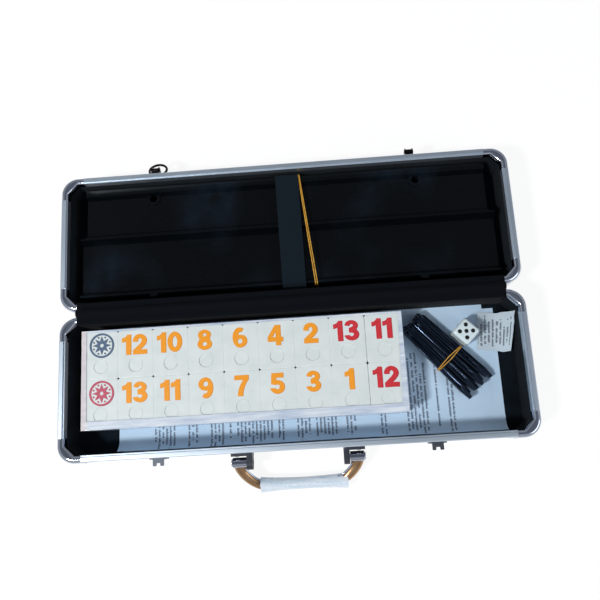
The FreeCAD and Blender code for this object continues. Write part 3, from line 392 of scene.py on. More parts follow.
RAIL_X = satin_aluminium("anodised_rail_along_x", (400, 1, 1))
RAIL_Y = satin_aluminium("anodised_rail_along_y", (1, 400, 1))
CHROME = corner_chrome()
RIVET = bright_rivet()
# painted reflection: the latches and key ring are bright plated steel made near-black, for the dark room they would
# mirror
PLATE_PAINTED_DARK = plated_steel("black_nickel_plate", "#2A2523", 0.16, 0.34)
NICKEL = plated_steel("nickel_plate", "#5F656D", 0.4, 0.5)
STEEL = plated_steel("zinc_plated_steel", "#A6A8AC", 0.25, 0.42)
LAMINATE = wall_laminate()
FLOCK = lining_flock()
HINGE_CLOTH = woven_black("black_book_cloth", "#090C11", "#0E1319", 0.8, 0.02)
ELASTIC = woven_black("black_elastic_webbing", "#131B22", "#1B2730", 1.1, 0.04)
RACK = black_plastic("black_polystyrene_rack", "#05080A", 0.2)
LEG = leg_plastic(math.radians(-48.2), 2.2)
TILE = tile_melamine()
ORANGE = printing_ink("orange_enamel", "#F29615", "#F5A32E")
# painted shade: each darker enamel below is a copy of the ink put under the number, standing in for the shaded wall
# of its engraving
ORANGE_PAINTED_SHADE = printing_ink("orange_enamel_painted_shade", "#BE7414", "#CB8220")
RED = printing_ink("red_enamel", "#C7232F", "#D33A42")
RED_PAINTED_SHADE = printing_ink("red_enamel_painted_shade", "#8A1A24", "#99232C")
BLUE_GREY = printing_ink("blue_grey_enamel", "#4C617C", "#5F7389")
BLUE_GREY_PAINTED_SHADE = printing_ink("blue_grey_enamel_painted_shade", "#34445A", "#3F4F66")
ROSE = printing_ink("rose_enamel", "#B9475F", "#C65F72")
ROSE_PAINTED_SHADE = printing_ink("rose_enamel_painted_shade", "#8C3247", "#9A4054")
DIE = die_plastic()
PIP = printing_ink("black_enamel", "#0B0D10", "#15181C")
TRAY = tray_plastic()
FILM = shrink_film()
POLYTHENE = crinkled_film()
GRIP = grip_plastic()
BAND = rubber("amber_rubber", "#D9A83E", "#C08A2C")
ARM = handle_metal(-60.6 * MM, 17 * MM, 3.85)
BRACKET = dark_bracket()
LEAFLET = printed_paper("blue_grey_bond_paper", "#C2DDF4", "#C9E2F7", "#2E3550", "Object", 2.9, -48, 22,
                        -113, 121, 0.95, (84, 101))
SLIP = printed_paper("white_tissue_paper", "#BFD0DB", "#CDDBE4", "#343B44", "UV", 2.9, 3, 29, 1,
                     27, 0.0)


# Finishes of the CAD pieces

def finish_of(node):
    """The material of a CAD node, by what the piece is."""
    if node.endswith(("_board", "_panel")):
        return LAMINATE
    if node.endswith(("_rim_left", "_rim_right")):
        return RAIL_Y
    if "_rim_" in node or node.endswith("edge_rails"):
        return RAIL_X
    if node.endswith("corner_posts"):
        return CHROME
    if node.endswith("_lining"):
        return FLOCK
    if node.endswith("_rivets"):
        return RIVET
    if node.startswith(("hinge_leaf", "hinge_pin")):
        return STEEL
    if node.startswith(("latch", "key_ring")):
        return PLATE_PAINTED_DARK
    if node.startswith("tile_rack"):
        return RACK
    named = {"rack_legs": LEG, "catch_plates": NICKEL, "handle_pins": CHROME, "handle_bracket_left": BRACKET,
             "handle_bracket_right": BRACKET, "handle_arm_left": ARM, "handle_arm_right": ARM,
             "handle_grip": GRIP, "tile_tray": TRAY, "tile_stack": TILE, "top_tiles": TILE,
             "game_die": DIE}
    return named.get(node, HINGE_CLOTH)


for node_name, node_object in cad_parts.items():
    node_object.data.materials.clear()
    node_object.data.materials.append(finish_of(node_name))


# Modelling helpers

def only(piece):
    """Deselects everything but this piece and makes it active."""
    bpy.ops.object.select_all(action="DESELECT")
    piece.select_set(True)
    bpy.context.view_layer.objects.active = piece


def settle(piece):
    """Puts a finished piece's place into its mesh."""
    only(piece)
    bpy.ops.object.transform_apply(location=True, rotation=True, scale=True)
    return piece


def finish_piece(piece, name, material, body, slot_name, *replaced):
    piece.name = name
    piece.data.name = name
    piece.data.materials.clear()
    piece.data.materials.append(material)
    settle(piece)
    bpy.ops.object.shade_smooth_by_angle(angle=math.radians(40))
    if body:
        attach(piece, body)
    if replaced:
        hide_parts(*replaced)
    return piece


def join_pieces(pieces):
    bpy.ops.object.select_all(action="DESELECT")
    for piece in pieces:
        piece.select_set(True)
    bpy.context.view_layer.objects.active = pieces[0]
    bpy.ops.object.join()
    return pieces[0]


def apply_modifier(piece, kind, **settings):
    only(piece)
    made = piece.modifiers.new(kind.lower(), kind)
    for key, value in settings.items():
        setattr(made, key, value)
    bpy.ops.object.modifier_apply(modifier=made.name)


def cad_copy(node, name):
    """A CAD piece's own mesh as a new object, with its loose triangles merged."""
    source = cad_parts[node]
    piece = bpy.data.objects.new(name, source.data.copy())
    piece.matrix_world = source.matrix_world
    bpy.context.collection.objects.link(piece)
    only(piece)
    bpy.ops.object.mode_set(mode="EDIT")
    bpy.ops.mesh.select_all(action="SELECT")
    bpy.ops.mesh.remove_doubles(threshold=0.002 * MM)
    bpy.ops.mesh.dissolve_limited(angle_limit=math.radians(0.5))
    bpy.ops.object.mode_set(mode="OBJECT")
    return piece


def soft_sheet(name, columns, rows, place, thickness_mm):
    """A sheet through place(u, v), with its own UV in metres, given a thickness both ways."""
    mesh = bpy.data.meshes.new(name)
    shape = bmesh.new()
    lattice = [[shape.verts.new(place(i / columns, j / rows)) for i in range(columns + 1)]
               for j in range(rows + 1)]
    along = [0.0]
    for j in range(rows):
        along.append(along[-1] + (lattice[j + 1][0].co - lattice[j][0].co).length)
    width = [0.0]
    for i in range(columns):
        width.append(width[-1] + (lattice[rows // 2][i + 1].co - lattice[rows // 2][i].co).length)
    uv = shape.loops.layers.uv.new("UVMap")
    for j in range(rows):
        for i in range(columns):
            corners = ((i, j), (i + 1, j), (i + 1, j + 1), (i, j + 1))
            face = shape.faces.new([lattice[b][a] for a, b in corners])
            face.smooth = True
            for loop, (a, b) in zip(face.loops, corners):
                loop[uv].uv = (width[a], along[b])
    shape.to_mesh(mesh)
    shape.free()
    piece = bpy.data.objects.new(name, mesh)
    bpy.context.collection.objects.link(piece)
    apply_modifier(piece, "SOLIDIFY", thickness=thickness_mm * MM, offset=0.0, use_even_offset=True)
    return piece, width[-1], along[-1]


def along_path(points, steps):
    """The point at each of steps + 1 even distances along a line of points."""
    lengths = [0.0]
    for a, b in zip(points, points[1:]):
        lengths.append(lengths[-1] + (Vector(b) - Vector(a)).length)
    found = []
    for k in range(steps + 1):
        target = lengths[-1] * k / steps
        i = max(j for j in range(len(points) - 1) if lengths[j] <= target + 1e-12)
        share = (target - lengths[i]) / (lengths[i + 1] - lengths[i])
        found.append(Vector(points[i]).lerp(Vector(points[i + 1]), share))
    return found


def rounded_path(corners, radius, steps=6):
    """A path through corners with each inner corner rounded by an arc-like curve."""
    made = [Vector(corners[0])]
    for before, here, after in zip(corners, corners[1:], corners[2:]):
        here = Vector(here)
        to_before = Vector(before) - here
        to_after = Vector(after) - here
        cut = min(radius, to_before.length / 2, to_after.length / 2)
        start = here + to_before.normalized() * cut
        end = here + to_after.normalized() * cut
        for k in range(steps + 1):
            t = k / steps
            made.append(start.lerp(here, t).lerp(here.lerp(end, t), t))
    made.append(Vector(corners[-1]))
    return made


# Corner posts: pressed steel that rolls softly over from the outside to the inside of the rim

HALF_LENGTH = 175.0
BACK_WALL = 2.9
FRONT_WALL = 109.9
POST_LEG = 17.5
POST_ARC = 12.5
POST_PROUD = 0.7
RIM_TOP = 34.0
RIM_WIDTH = 5.0
RIM_CHAMFER = 17.0
FOOT_CHAMFER = 24.5
# the roll from the outer face: distance in, height below the rim's top
ROLL = [(0, -3.4), (0.1, -2.4), (0.42, -1.55), (0.95, -0.86), (1.6, -0.38), (2.3, -0.09), (3.0, 0.0)]
# the rest of the way to the inner edge, as a share of what is left
SLOPE = [(0.2, -0.05), (0.4, -0.19), (0.6, -0.43), (0.78, -0.74), (0.91, -1.15), (1.0, -2.0)]


def post_ring(web, foot):
    """The closed section of a post: its distance in from the outer face, and its height."""
    top = [(u, RIM_TOP + z) for u, z in ROLL]
    top += [(ROLL[-1][0] + (web - ROLL[-1][0]) * share, RIM_TOP + z) for share, z in SLOPE]
    return ([(foot, 0.0), (1.6, 0.0), (0.8, 0.21), (0.21, 0.8), (0.0, 1.6)] + top
            + [(web, 28.0), (web - 1.3, 28.0), (web - 1.3, 31.6), (1.7, 31.6), (1.7, 1.0), (foot, 1.0)])


def post_stations():
    """Along a post's outline: a function from the distance in to the place, and the two widths."""
    made = []
    for a in (POST_LEG, 15.5, 13.45, 13.35):
        made.append((lambda u, a=a: (a, u - POST_PROUD), RIM_WIDTH + POST_PROUD, FOOT_CHAMFER - a + POST_PROUD))
    for step in range(25):
        angle = math.radians(270 - 90 * step / 24)
        c, s = math.cos(angle), math.sin(angle)
        reach = min((POST_ARC - RIM_WIDTH) / max(1e-6, -c), (POST_ARC - RIM_WIDTH) / max(1e-6, -s),
                    (2 * POST_ARC - RIM_CHAMFER) / (-c - s))
        foot = (2 * POST_ARC - FOOT_CHAMFER) / (-c - s)
        outer = POST_ARC + POST_PROUD
        made.append((lambda u, c=c, s=s: (POST_ARC + (outer - u) * c, POST_ARC + (outer - u) * s),
                     outer - reach, outer - foot))
    for b in (13.35, 13.45, 15.5, POST_LEG):
        made.append((lambda u, b=b: (u - POST_PROUD, b), RIM_WIDTH + POST_PROUD, FOOT_CHAMFER - b + POST_PROUD))
    return made


def corner_post(side, at_back, toward):
    """One post, made from a tube whose rings become the sections along its outline."""
    stations = post_stations()
    count = len(post_ring(1, 1))
    bpy.ops.object.select_all(action="DESELECT")
    bpy.ops.mesh.primitive_cylinder_add(vertices=count, radius=1, depth=1, end_fill_type="NGON")
    piece = bpy.context.object
    bpy.ops.object.mode_set(mode="EDIT")
    bpy.ops.mesh.select_all(action="DESELECT")
    shape = bmesh.from_edit_mesh(piece.data)
    for edge in shape.edges:
        a, b = (v.co for v in edge.verts)
        edge.select_set(abs(a.z - b.z) > 0.5)
    bmesh.update_edit_mesh(piece.data)
    bpy.ops.mesh.subdivide(number_cuts=len(stations) - 2)
    bpy.ops.object.mode_set(mode="OBJECT")
    for vertex in piece.data.vertices:
        station = round((vertex.co.z + 0.5) * (len(stations) - 1))
        spot = round(math.atan2(vertex.co.y, vertex.co.x) / (2 * math.pi) * count) % count
        place, web, foot = stations[station]
        u, z = post_ring(web, foot)[spot]
        a, b = place(u)
        d = BACK_WALL + b if at_back else FRONT_WALL - b
        # the hinge cloth's end lies in a step in the posts beside it
        if at_back and a > 13.4:
            z = min(z, 33.25)
        vertex.co = Vector((side * (HALF_LENGTH - a), AXIS_Y / MM + toward * d, z)) * MM
    bpy.ops.object.mode_set(mode="EDIT")
    bpy.ops.mesh.select_all(action="SELECT")
    bpy.ops.mesh.normals_make_consistent(inside=False)
    bpy.ops.object.mode_set(mode="OBJECT")
    return piece


def corner_posts(body, toward):
    posts = [corner_post(side, at_back, toward) for side in (-1, 1) for at_back in (False, True)]
    finish_piece(join_pieces(posts), body + "_corner_caps", CHROME, body, "corner_chrome", body + "_corner_posts")


corner_posts("base", -1)
corner_posts("lid", 1)


# Hinge cloth: one strip from inside the base, over the knuckles, to inside the lid

CLOTH_HALF = 161.5
CLOTH_TAIL_Z = 21.4
CLOTH_INNER = 8.2
KNUCKLE_WRAP = 3.0


def hinge_cloth():
    side = [(CLOTH_INNER, CLOTH_TAIL_Z), (CLOTH_INNER, 33.6), (3.35, 33.6)]
    rise = [(KNUCKLE_WRAP * math.cos(math.radians(a)), AXIS_Z / MM + KNUCKLE_WRAP * math.sin(math.radians(a)))
            for a in range(4, 91, 6)]
    base_side = [tuple(p) for p in rounded_path(side + [rise[0]], 0.6)] + rise[1:]
    profile = [(-d, z) for d, z in base_side] + [(d, z) for d, z in reversed(base_side[:-1])]
    line = along_path(profile, 72)

    def place(u, v):
        point = line[round(v * 72)]
        x = -CLOTH_HALF + 2 * CLOTH_HALF * u
        edge_lift = 0.05 * noise.noise(Vector((x * 0.06, v * 5, 3.0)))
        return Vector((x, AXIS_Y / MM + point[0], point[1] + edge_lift)) * MM

    piece, width, length = soft_sheet("hinge_cloth_strip", 80, 72, place, 0.5)
    piece.data.materials.clear()
    piece.data.materials.append(HINGE_CLOTH)
    settle(piece)
    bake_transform(piece)
    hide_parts("base_hinge_cloth", "lid_hinge_cloth")


hinge_cloth()


# Elastic strap over the racks

def rack_strap():
    low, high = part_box("rack_strap")
    middle_x = (low.x + high.x) / 2 / MM
    half = (high.x - low.x) / 2 / MM
    far = high.y / MM - 0.45
    near = low.y / MM + 0.45
    top = high.z / MM - 0.45
    bottom = low.z / MM
    corners = [(far, bottom), (far - 1.3, top - 1.4), (far - 2.0, top), (near + 7.2, top),
               (near, bottom + 0.6), (near, bottom)]
    line = along_path([tuple(p) for p in rounded_path(corners, 0.9)], 120)

    def place(u, v):
        point = line[round(v * 120)]
        # the webbing's woven ribs show as a fine scallop on its two edges
        side = (2 * u - 1) * (half + 0.08 * math.sin(v * 120 * math.pi / 2))
        crown = 0.12 * (1 - (2 * u - 1) ** 2)
        # it lies a little askew, nearer the middle of the case at its far end
        askew = 0.9 * (v - 0.5) * 2
        return Vector((middle_x + side + askew, point[0], point[1] + crown)) * MM

    piece, width, length = soft_sheet("elastic_strap", 14, 120, place, 0.8)
    finish_piece(piece, "elastic_strap", ELASTIC, "lid", "strap_elastic", "rack_strap")


rack_strap()


# Rubber bands: each is one loop laid double, so two strands show

def band_strand(name, corners, radius, thick_mm, closed=True):
    """A strand through corners, which are rounded off, as a round tube."""
    path = rounded_path(corners + corners[:2], radius, 5)[1:-1] if closed else rounded_path(corners, radius, 5)
    curve = bpy.data.curves.new(name, "CURVE")
    curve.dimensions = "3D"
    spline = curve.splines.new("POLY")
    spline.points.add(len(path) - 1)
    for point, co in zip(spline.points, path):
        point.co = (*(Vector(co) * MM), 1)
    spline.use_cyclic_u = closed
    curve.bevel_depth = thick_mm / 2 * MM
    curve.bevel_resolution = 3
    curve.use_fill_caps = not closed
    piece = bpy.data.objects.new(name, curve)
    bpy.context.collection.objects.link(piece)
    only(piece)
    bpy.ops.object.convert(target="MESH")
    return bpy.context.object


def rack_band():
    """Far ends lie together, and the near ends have spread a little."""
    low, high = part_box("rack_band")
    thick = 0.85
    far_y = high.y / MM - thick / 2
    near_y = low.y / MM + thick / 2
    top = high.z / MM - thick / 2
    bottom = low.z / MM + thick / 2
    strands = []
    for number, (far_x, near_x) in enumerate(((12.5, 21.1), (13.3, 22.6))):
        corners = [(far_x, far_y, bottom), (far_x, far_y, top), (near_x, near_y, top), (near_x, near_y, bottom)]
        strands.append(band_strand("strand", corners, 1.6, thick))
    finish_piece(join_pieces(strands), "rack_rubber_band", BAND, "lid", "band_rubber", "rack_band")


rack_band()


LEGS_MIDDLE = Vector((117.0, 10.5, 6.0))
LEGS_TURN = math.radians(-48.2)


def leg_band():
    """Two strands that part over the middle of the legs and meet at both sides."""
    along = Vector((math.cos(LEGS_TURN), math.sin(LEGS_TURN), 0))
    across = Vector((math.sin(LEGS_TURN), -math.cos(LEGS_TURN), 0))
    section = [(-13.3, -0.5, 0.45), (10.6, -0.5, 0.45), (13.35, 4.0, 0.45), (13.35, 8.8, 0.45),
               (1.0, 8.85, 1.2), (-10.7, 8.8, 0.45), (-13.35, 4.0, 0.45)]
    strands = []
    for side in (-1, 1):
        corners = [LEGS_MIDDLE + across * a + along * (3.5 + side * bow) + Vector((0, 0, z)) for a, z, bow in section]
        strands.append(band_strand("strand", [tuple(c) for c in corners], 1.0, 0.8))
    finish_piece(join_pieces(strands), "leg_rubber_band", BAND, "base", "band_rubber", "leg_band")


leg_band()


# Rack legs: the mould leaves their edges round, which is what catches the light

def rack_legs():
    piece = cad_copy("rack_legs", "rack_legs_rounded")
    apply_modifier(piece, "BEVEL", width=0.38 * MM, segments=3, limit_method="ANGLE", angle_limit=math.radians(35))
    finish_piece(piece, "rack_legs_rounded", LEG, "base", "rack_plastic", "rack_legs")


rack_legs()


# Key ring: a split ring, whose two coils lie together and look like one thick wire

def key_ring():
    piece = cad_copy("key_ring", "split_ring")
    bpy.ops.object.mode_set(mode="EDIT")
    bpy.ops.mesh.select_all(action="SELECT")
    bpy.ops.transform.shrink_fatten(value=0.28 * MM)
    bpy.ops.object.mode_set(mode="OBJECT")
    finish_piece(piece, "split_ring", PLATE_PAINTED_DARK, "key_ring", "latch_steel", "key_ring")


key_ring()


# Rules leaflet: two folded sheets, the under one shifted to the right

def rules_leaflet():
    low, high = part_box("rules_leaflet")
    floor = low.z / MM
    front = low.y / MM
    back = high.y / MM
    rise = 8.0

    def sheet_at(left, right, back_edge, lift, front_gap, seed):
        bend = front + front_gap + rise
        arc = [(bend - rise * math.sin(math.radians(a)), floor + lift + rise * (1 - math.cos(math.radians(a))))
               for a in range(0, 84, 7)]
        line = along_path([(back_edge, floor + lift), (bend, floor + lift)] + arc[1:], 60)

        def place(u, v):
            point = line[round(v * 60)]
            x = left + (right - left) * u
            wave = noise.noise(Vector((x * 0.035, point[0] * 0.05, seed)))
            curl = max(0.0, (v - 0.78) / 0.22)
            free = max(0.0, (x - 150) / 12)
            height = point[1] + curl * (1.1 * wave + 0.3) + 0.05 * abs(wave) + free * free * 0.5
            return Vector((x, point[0] + curl * 0.5 * wave + 0.2 * curl, height)) * MM
        return place

    upper, width, length = soft_sheet("leaflet_upper", 110, 60,
                                      sheet_at(-138, 149, back + 1.2, 0.22, 0.6, 1.0), 0.12)
    finish_piece(upper, "leaflet_upper_sheet", LEAFLET, "base", "leaflet_paper", "rules_leaflet")
    under, width, length = soft_sheet("leaflet_under", 110, 60,
                                      sheet_at(-133, 157.5, back - 3.0, 0.08, 0.35, 4.0), 0.12)
    finish_piece(under, "leaflet_under_sheet", LEAFLET, "base", "leaflet_paper")


rules_leaflet()


# Paper slip, curled up along its right edge

def paper_slip():
    low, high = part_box("paper_slip")
    corners = [[(141.6, 43.0), (166.6, 46.3)], [(144.9, 13.2), (169.8, 17.0)]]
    base = low.z / MM

    def place(u, v):
        near, far = (Vector(row[0]).lerp(Vector(row[1]), u) for row in corners)
        flat = near.lerp(far, v)
        curl = max(0.0, (u - 0.35) / 0.65)
        wave = noise.noise(Vector((u * 2.6, v * 3.1, 8.0)))
        height = 0.25 + (3.0 + 13.0 * v) * curl ** 2 + 0.8 * (wave + 0.5) * (0.25 + curl)
        # its torn edges run a little out of true
        x = flat.x + 0.9 * u * noise.noise(Vector((v * 5.0, 2.0, 1.0)))
        y = flat.y + 0.8 * (2 * v - 1) * noise.noise(Vector((u * 4.5, v, 6.0)))
        return Vector((x, AXIS_Y / MM - y, base + height)) * MM

    piece, width, length = soft_sheet("slip", 30, 34, place, 0.1)
    finish_piece(piece, "paper_slip_sheet", SLIP, "base", "slip_paper", "paper_slip")


paper_slip()


# Tray film: the white shrink film folded over the tray's rim onto the tiles

def tray_film():
    low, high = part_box("tile_tray")
    tiles_low, tiles_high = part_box("top_tiles")
    top = tiles_high.z + 0.28 * MM
    bottom = low.z + 0.3 * MM
    grow = 0.22 * MM
    size = (high.x - low.x + 2 * grow, high.y - low.y + 2 * grow, top - bottom)
    bpy.ops.object.select_all(action="DESELECT")
    bpy.ops.mesh.primitive_cube_add(size=1, location=((low.x + high.x) / 2, (low.y + high.y) / 2,
                                                      (top + bottom) / 2))
    piece = bpy.context.object
    piece.scale = size
    settle(piece)
    bpy.ops.object.mode_set(mode="EDIT")
    shape = bmesh.from_edit_mesh(piece.data)
    for face in shape.faces:
        face.select_set(face.normal.z < -0.5)
    bmesh.update_edit_mesh(piece.data)
    bpy.ops.mesh.delete(type="FACE")
    shape = bmesh.from_edit_mesh(piece.data)
    for face in shape.faces:
        face.select_set(face.normal.z > 0.5)
    bmesh.update_edit_mesh(piece.data)
    bpy.ops.mesh.inset(thickness=2.2 * MM)
    shape = bmesh.from_edit_mesh(piece.data)
    window = [face for face in shape.faces if face.select][0]
    # the fold is widest at the front, where the film was gathered
    middle = window.calc_center_median()
    for vertex in window.verts:
        if vertex.co.y < middle.y:
            vertex.co.y = low.y + 6.0 * MM
        else:
            vertex.co.y = high.y - 1.3 * MM
        if vertex.co.x < middle.x:
            vertex.co.x = low.x + (3.4 if vertex.co.y > middle.y else 3.8) * MM
        else:
            vertex.co.x = high.x - (2.2 if vertex.co.y > middle.y else 4.4) * MM
    bmesh.update_edit_mesh(piece.data)
    bpy.ops.mesh.delete(type="FACE")
    bpy.ops.mesh.select_all(action="SELECT")
    bpy.ops.mesh.subdivide(number_cuts=30)
    bpy.ops.object.mode_set(mode="OBJECT")
    for vertex in piece.data.vertices:
        x, y, z = vertex.co / MM
        ripple = noise.noise(Vector((x * 0.09, y * 0.22, z * 0.1)))
        fine = noise.noise(Vector((x * 0.4, y * 0.6, 5.0)))
        if z > top / MM - 0.01:
            vertex.co.z += max(0.0, 0.22 * ripple + 0.1 * fine + 0.12) * MM
            inner = abs(vertex.co.y - (low.y + 6.0 * MM)) < 0.1 * MM
            if inner:
                vertex.co.y += 0.35 * ripple * MM
        elif z > bottom / MM + 0.5:
            outward = Vector((vertex.co.x - (low.x + high.x) / 2, vertex.co.y - (low.y + high.y) / 2, 0))
            near_side = abs(abs(outward.x) - size[0] / 2) < 0.1 * MM
            shift = (0.12 * ripple + 0.05 * fine) * MM
            if near_side:
                vertex.co.x += math.copysign(abs(shift), outward.x)
            else:
                vertex.co.y += math.copysign(abs(shift), outward.y)
    apply_modifier(piece, "SOLIDIFY", thickness=0.12 * MM, offset=1.0)
    finish_piece(piece, "tray_shrink_film", FILM, "tile_pack", "tray_plastic")


tray_film()


# Film on the grip: a thin tube, creased and flared at its ends

def grip_film():
    low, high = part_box("grip_film")
    centre = (low + high) / 2
    radius = (high.z - low.z) / 2 - 0.25 * MM
    bpy.ops.object.select_all(action="DESELECT")
    bpy.ops.mesh.primitive_cylinder_add(vertices=72, radius=radius, depth=high.x - low.x,
                                        end_fill_type="NOTHING", location=centre,
                                        rotation=(0, math.pi / 2, 0))
    piece = settle(bpy.context.object)
    bpy.ops.object.mode_set(mode="EDIT")
    bpy.ops.mesh.select_all(action="DESELECT")
    shape = bmesh.from_edit_mesh(piece.data)
    for edge in shape.edges:
        a, b = (v.co for v in edge.verts)
        edge.select_set(abs(a.x - b.x) > 1 * MM)
    bmesh.update_edit_mesh(piece.data)
    bpy.ops.mesh.subdivide(number_cuts=70)
    bpy.ops.object.mode_set(mode="OBJECT")
    half = (high.x - low.x) / 2
    for vertex in piece.data.vertices:
        out = Vector((0, vertex.co.y - centre.y, vertex.co.z - centre.z))
        angle = math.atan2(out.z, out.y)
        x = (vertex.co.x - centre.x) / MM
        # long creases wind slowly round the grip, with small crumples between them
        wind = noise.noise(Vector((math.cos(angle + x * 0.02) * 1.8, math.sin(angle + x * 0.02) * 1.8, x * 0.05)))
        crumple = noise.noise(Vector((math.cos(angle) * 3, math.sin(angle) * 3, x * 0.16 + 9)))
        away = min(1.0, abs(x) * MM / half)
        end = max(0.0, (away - 0.86) / 0.14)
        reach = 4.3 + 1.35 * away ** 2.2 + 0.18 * wind + 0.1 * crumple + end * (0.1 + 0.3 * crumple)
        ragged = 1.2 * noise.noise(Vector((math.cos(angle) * 1.5, math.sin(angle) * 1.5, 20.0)))
        vertex.co = Vector((vertex.co.x, centre.y, centre.z)) + out.normalized() * reach * MM
        # it has slipped towards the right, more so at its right end
        vertex.co.x += (math.copysign(end * ragged, x) + 2.4 + 0.95 * x * MM / half) * MM
    apply_modifier(piece, "SOLIDIFY", thickness=0.1 * MM, offset=-1.0)
    finish_piece(piece, "grip_polythene_film", POLYTHENE, "handle", "clear_film", "grip_film")


grip_film()


def grip_core():
    """The grip under the film, slimmer in the middle than at its ends."""
    low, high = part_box("handle_grip")
    centre = (low + high) / 2
    half = (high.x - low.x) / 2
    bpy.ops.object.select_all(action="DESELECT")
    bpy.ops.mesh.primitive_cylinder_add(vertices=48, radius=1 * MM, depth=2 * half, location=centre,
                                        rotation=(0, math.pi / 2, 0))
    piece = settle(bpy.context.object)
    bpy.ops.object.mode_set(mode="EDIT")
    bpy.ops.mesh.select_all(action="DESELECT")
    shape = bmesh.from_edit_mesh(piece.data)
    for edge in shape.edges:
        a, b = (v.co for v in edge.verts)
        edge.select_set(abs(a.x - b.x) > half)
    bmesh.update_edit_mesh(piece.data)
    bpy.ops.mesh.subdivide(number_cuts=40)
    bpy.ops.object.mode_set(mode="OBJECT")
    for vertex in piece.data.vertices:
        out = Vector((0, vertex.co.y - centre.y, vertex.co.z - centre.z))
        away = abs(vertex.co.x - centre.x) / half
        bead = 0.35 * math.sin(math.pi * min(1.0, max(0.0, (away - 0.9) / 0.1)))
        reach = 3.65 + 0.7 * away ** 2 + bead
        vertex.co = Vector((vertex.co.x, centre.y, centre.z)) + out.normalized() * reach * MM
    finish_piece(piece, "grip_core", GRIP, "handle", "grip_plastic", "handle_grip")


grip_core()


# Bright edges along the inner side of the two arms

ARM_EDGE = [(39.7, 5.4), (38.2, 8.0), (36.3, 10.3), (34.4, 12.5), (32.2, 14.6), (28.2, 16.6)]
PIVOT_Y = -60.6
PIVOT_Z = 17.0
ARM_FALL = math.radians(31.147)


def arm_edges():
    strips = []
    for side in (-1, 1):
        corners = [(side * x, PIVOT_Y - reach * math.cos(ARM_FALL), PIVOT_Z - reach * math.sin(ARM_FALL) + 1.3)
                   for x, reach in ARM_EDGE]
        strips.append(band_strand("strip", corners, 3.0, 1.6, closed=False))
    finish_piece(join_pieces(strips), "handle_arm_edges", CHROME, "handle", "corner_chrome")


arm_edges()


# Top tiles: the film presses them together, all but the last column

def tile_places():
    """The size of a tile's place, and each place's number and back left corner."""
    low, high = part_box("top_tiles")
    play = 0.15 * MM
    pitch = Vector(((high.x - low.x + play) / 9, (high.y - low.y + play) / 2, 0))
    places = [(row, column, Vector((low.x + column * pitch.x, high.y - row * pitch.y, high.z)))
              for row in range(2) for column in range(9)]
    return pitch, play, places


def pressed_tiles():
    piece = cad_copy("top_tiles", "pressed_top_tiles")
    low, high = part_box("top_tiles")
    pitch, play, places = tile_places()
    # the rounded top edges run into each other, which leaves a shallow joint
    squeeze = 0.16 * MM
    for vertex in piece.data.vertices:
        column = min(8, int((vertex.co.x - low.x) / pitch.x))
        row = min(1, int((vertex.co.y - low.y) / pitch.y))
        middle_x = low.x + (column + 0.5) * pitch.x - play / 2
        middle_y = low.y + (row + 0.5) * pitch.y - play / 2
        outer = (column == 0 and vertex.co.x < middle_x) or (column == 7 and vertex.co.x > middle_x)
        if column < 8 and not outer:
            vertex.co.x += math.copysign(play / 2 + squeeze, vertex.co.x - middle_x)
        if (row == 0) == (vertex.co.y > middle_y):
            vertex.co.y += math.copysign(play / 2 + squeeze, vertex.co.y - middle_y)
    # the mould's ring round each dimple
    parts = [piece]
    for row, column, corner in places:
        spot = corner + Vector((pitch.x / 2 - play / 2, -26.5 * MM, 0))
        bpy.ops.object.select_all(action="DESELECT")
        bpy.ops.mesh.primitive_torus_add(location=spot, major_radius=5.25 * MM, minor_radius=0.16 * MM,
                                         major_segments=48, minor_segments=8)
        parts.append(bpy.context.object)
    piece = finish_piece(join_pieces(parts), "pressed_top_tiles", TILE, "tile_pack", "tile_plastic", "top_tiles")
    # the flat faces keep their own direction, and only the fillets are smooth
    apply_modifier(piece, "WEIGHTED_NORMAL", weight=100, keep_sharp=True)


pressed_tiles()


# Numbers: outlines of bold figures, one unit high, drawn round the origin of the baseline

def arc(cx, cy, rx, ry, start, end, steps=20):
    return [(cx + rx * math.cos(math.radians(start + (end - start) * k / steps)),
             cy + ry * math.sin(math.radians(start + (end - start) * k / steps))) for k in range(steps + 1)]


def ring(cx, cy, rx, ry, steps=40):
    return arc(cx, cy, rx, ry, 0, 360, steps)[:-1]


SIX = [arc(0, 0.5, 0.355, 0.5, 58, 270, 30)[:-1] + arc(0, 0.325, 0.355, 0.325, 270, 420, 24)
       + arc(0.02, 0.50, 0.125, 0.28, 150, 66, 10),
       ring(0.005, 0.315, 0.125, 0.125)]

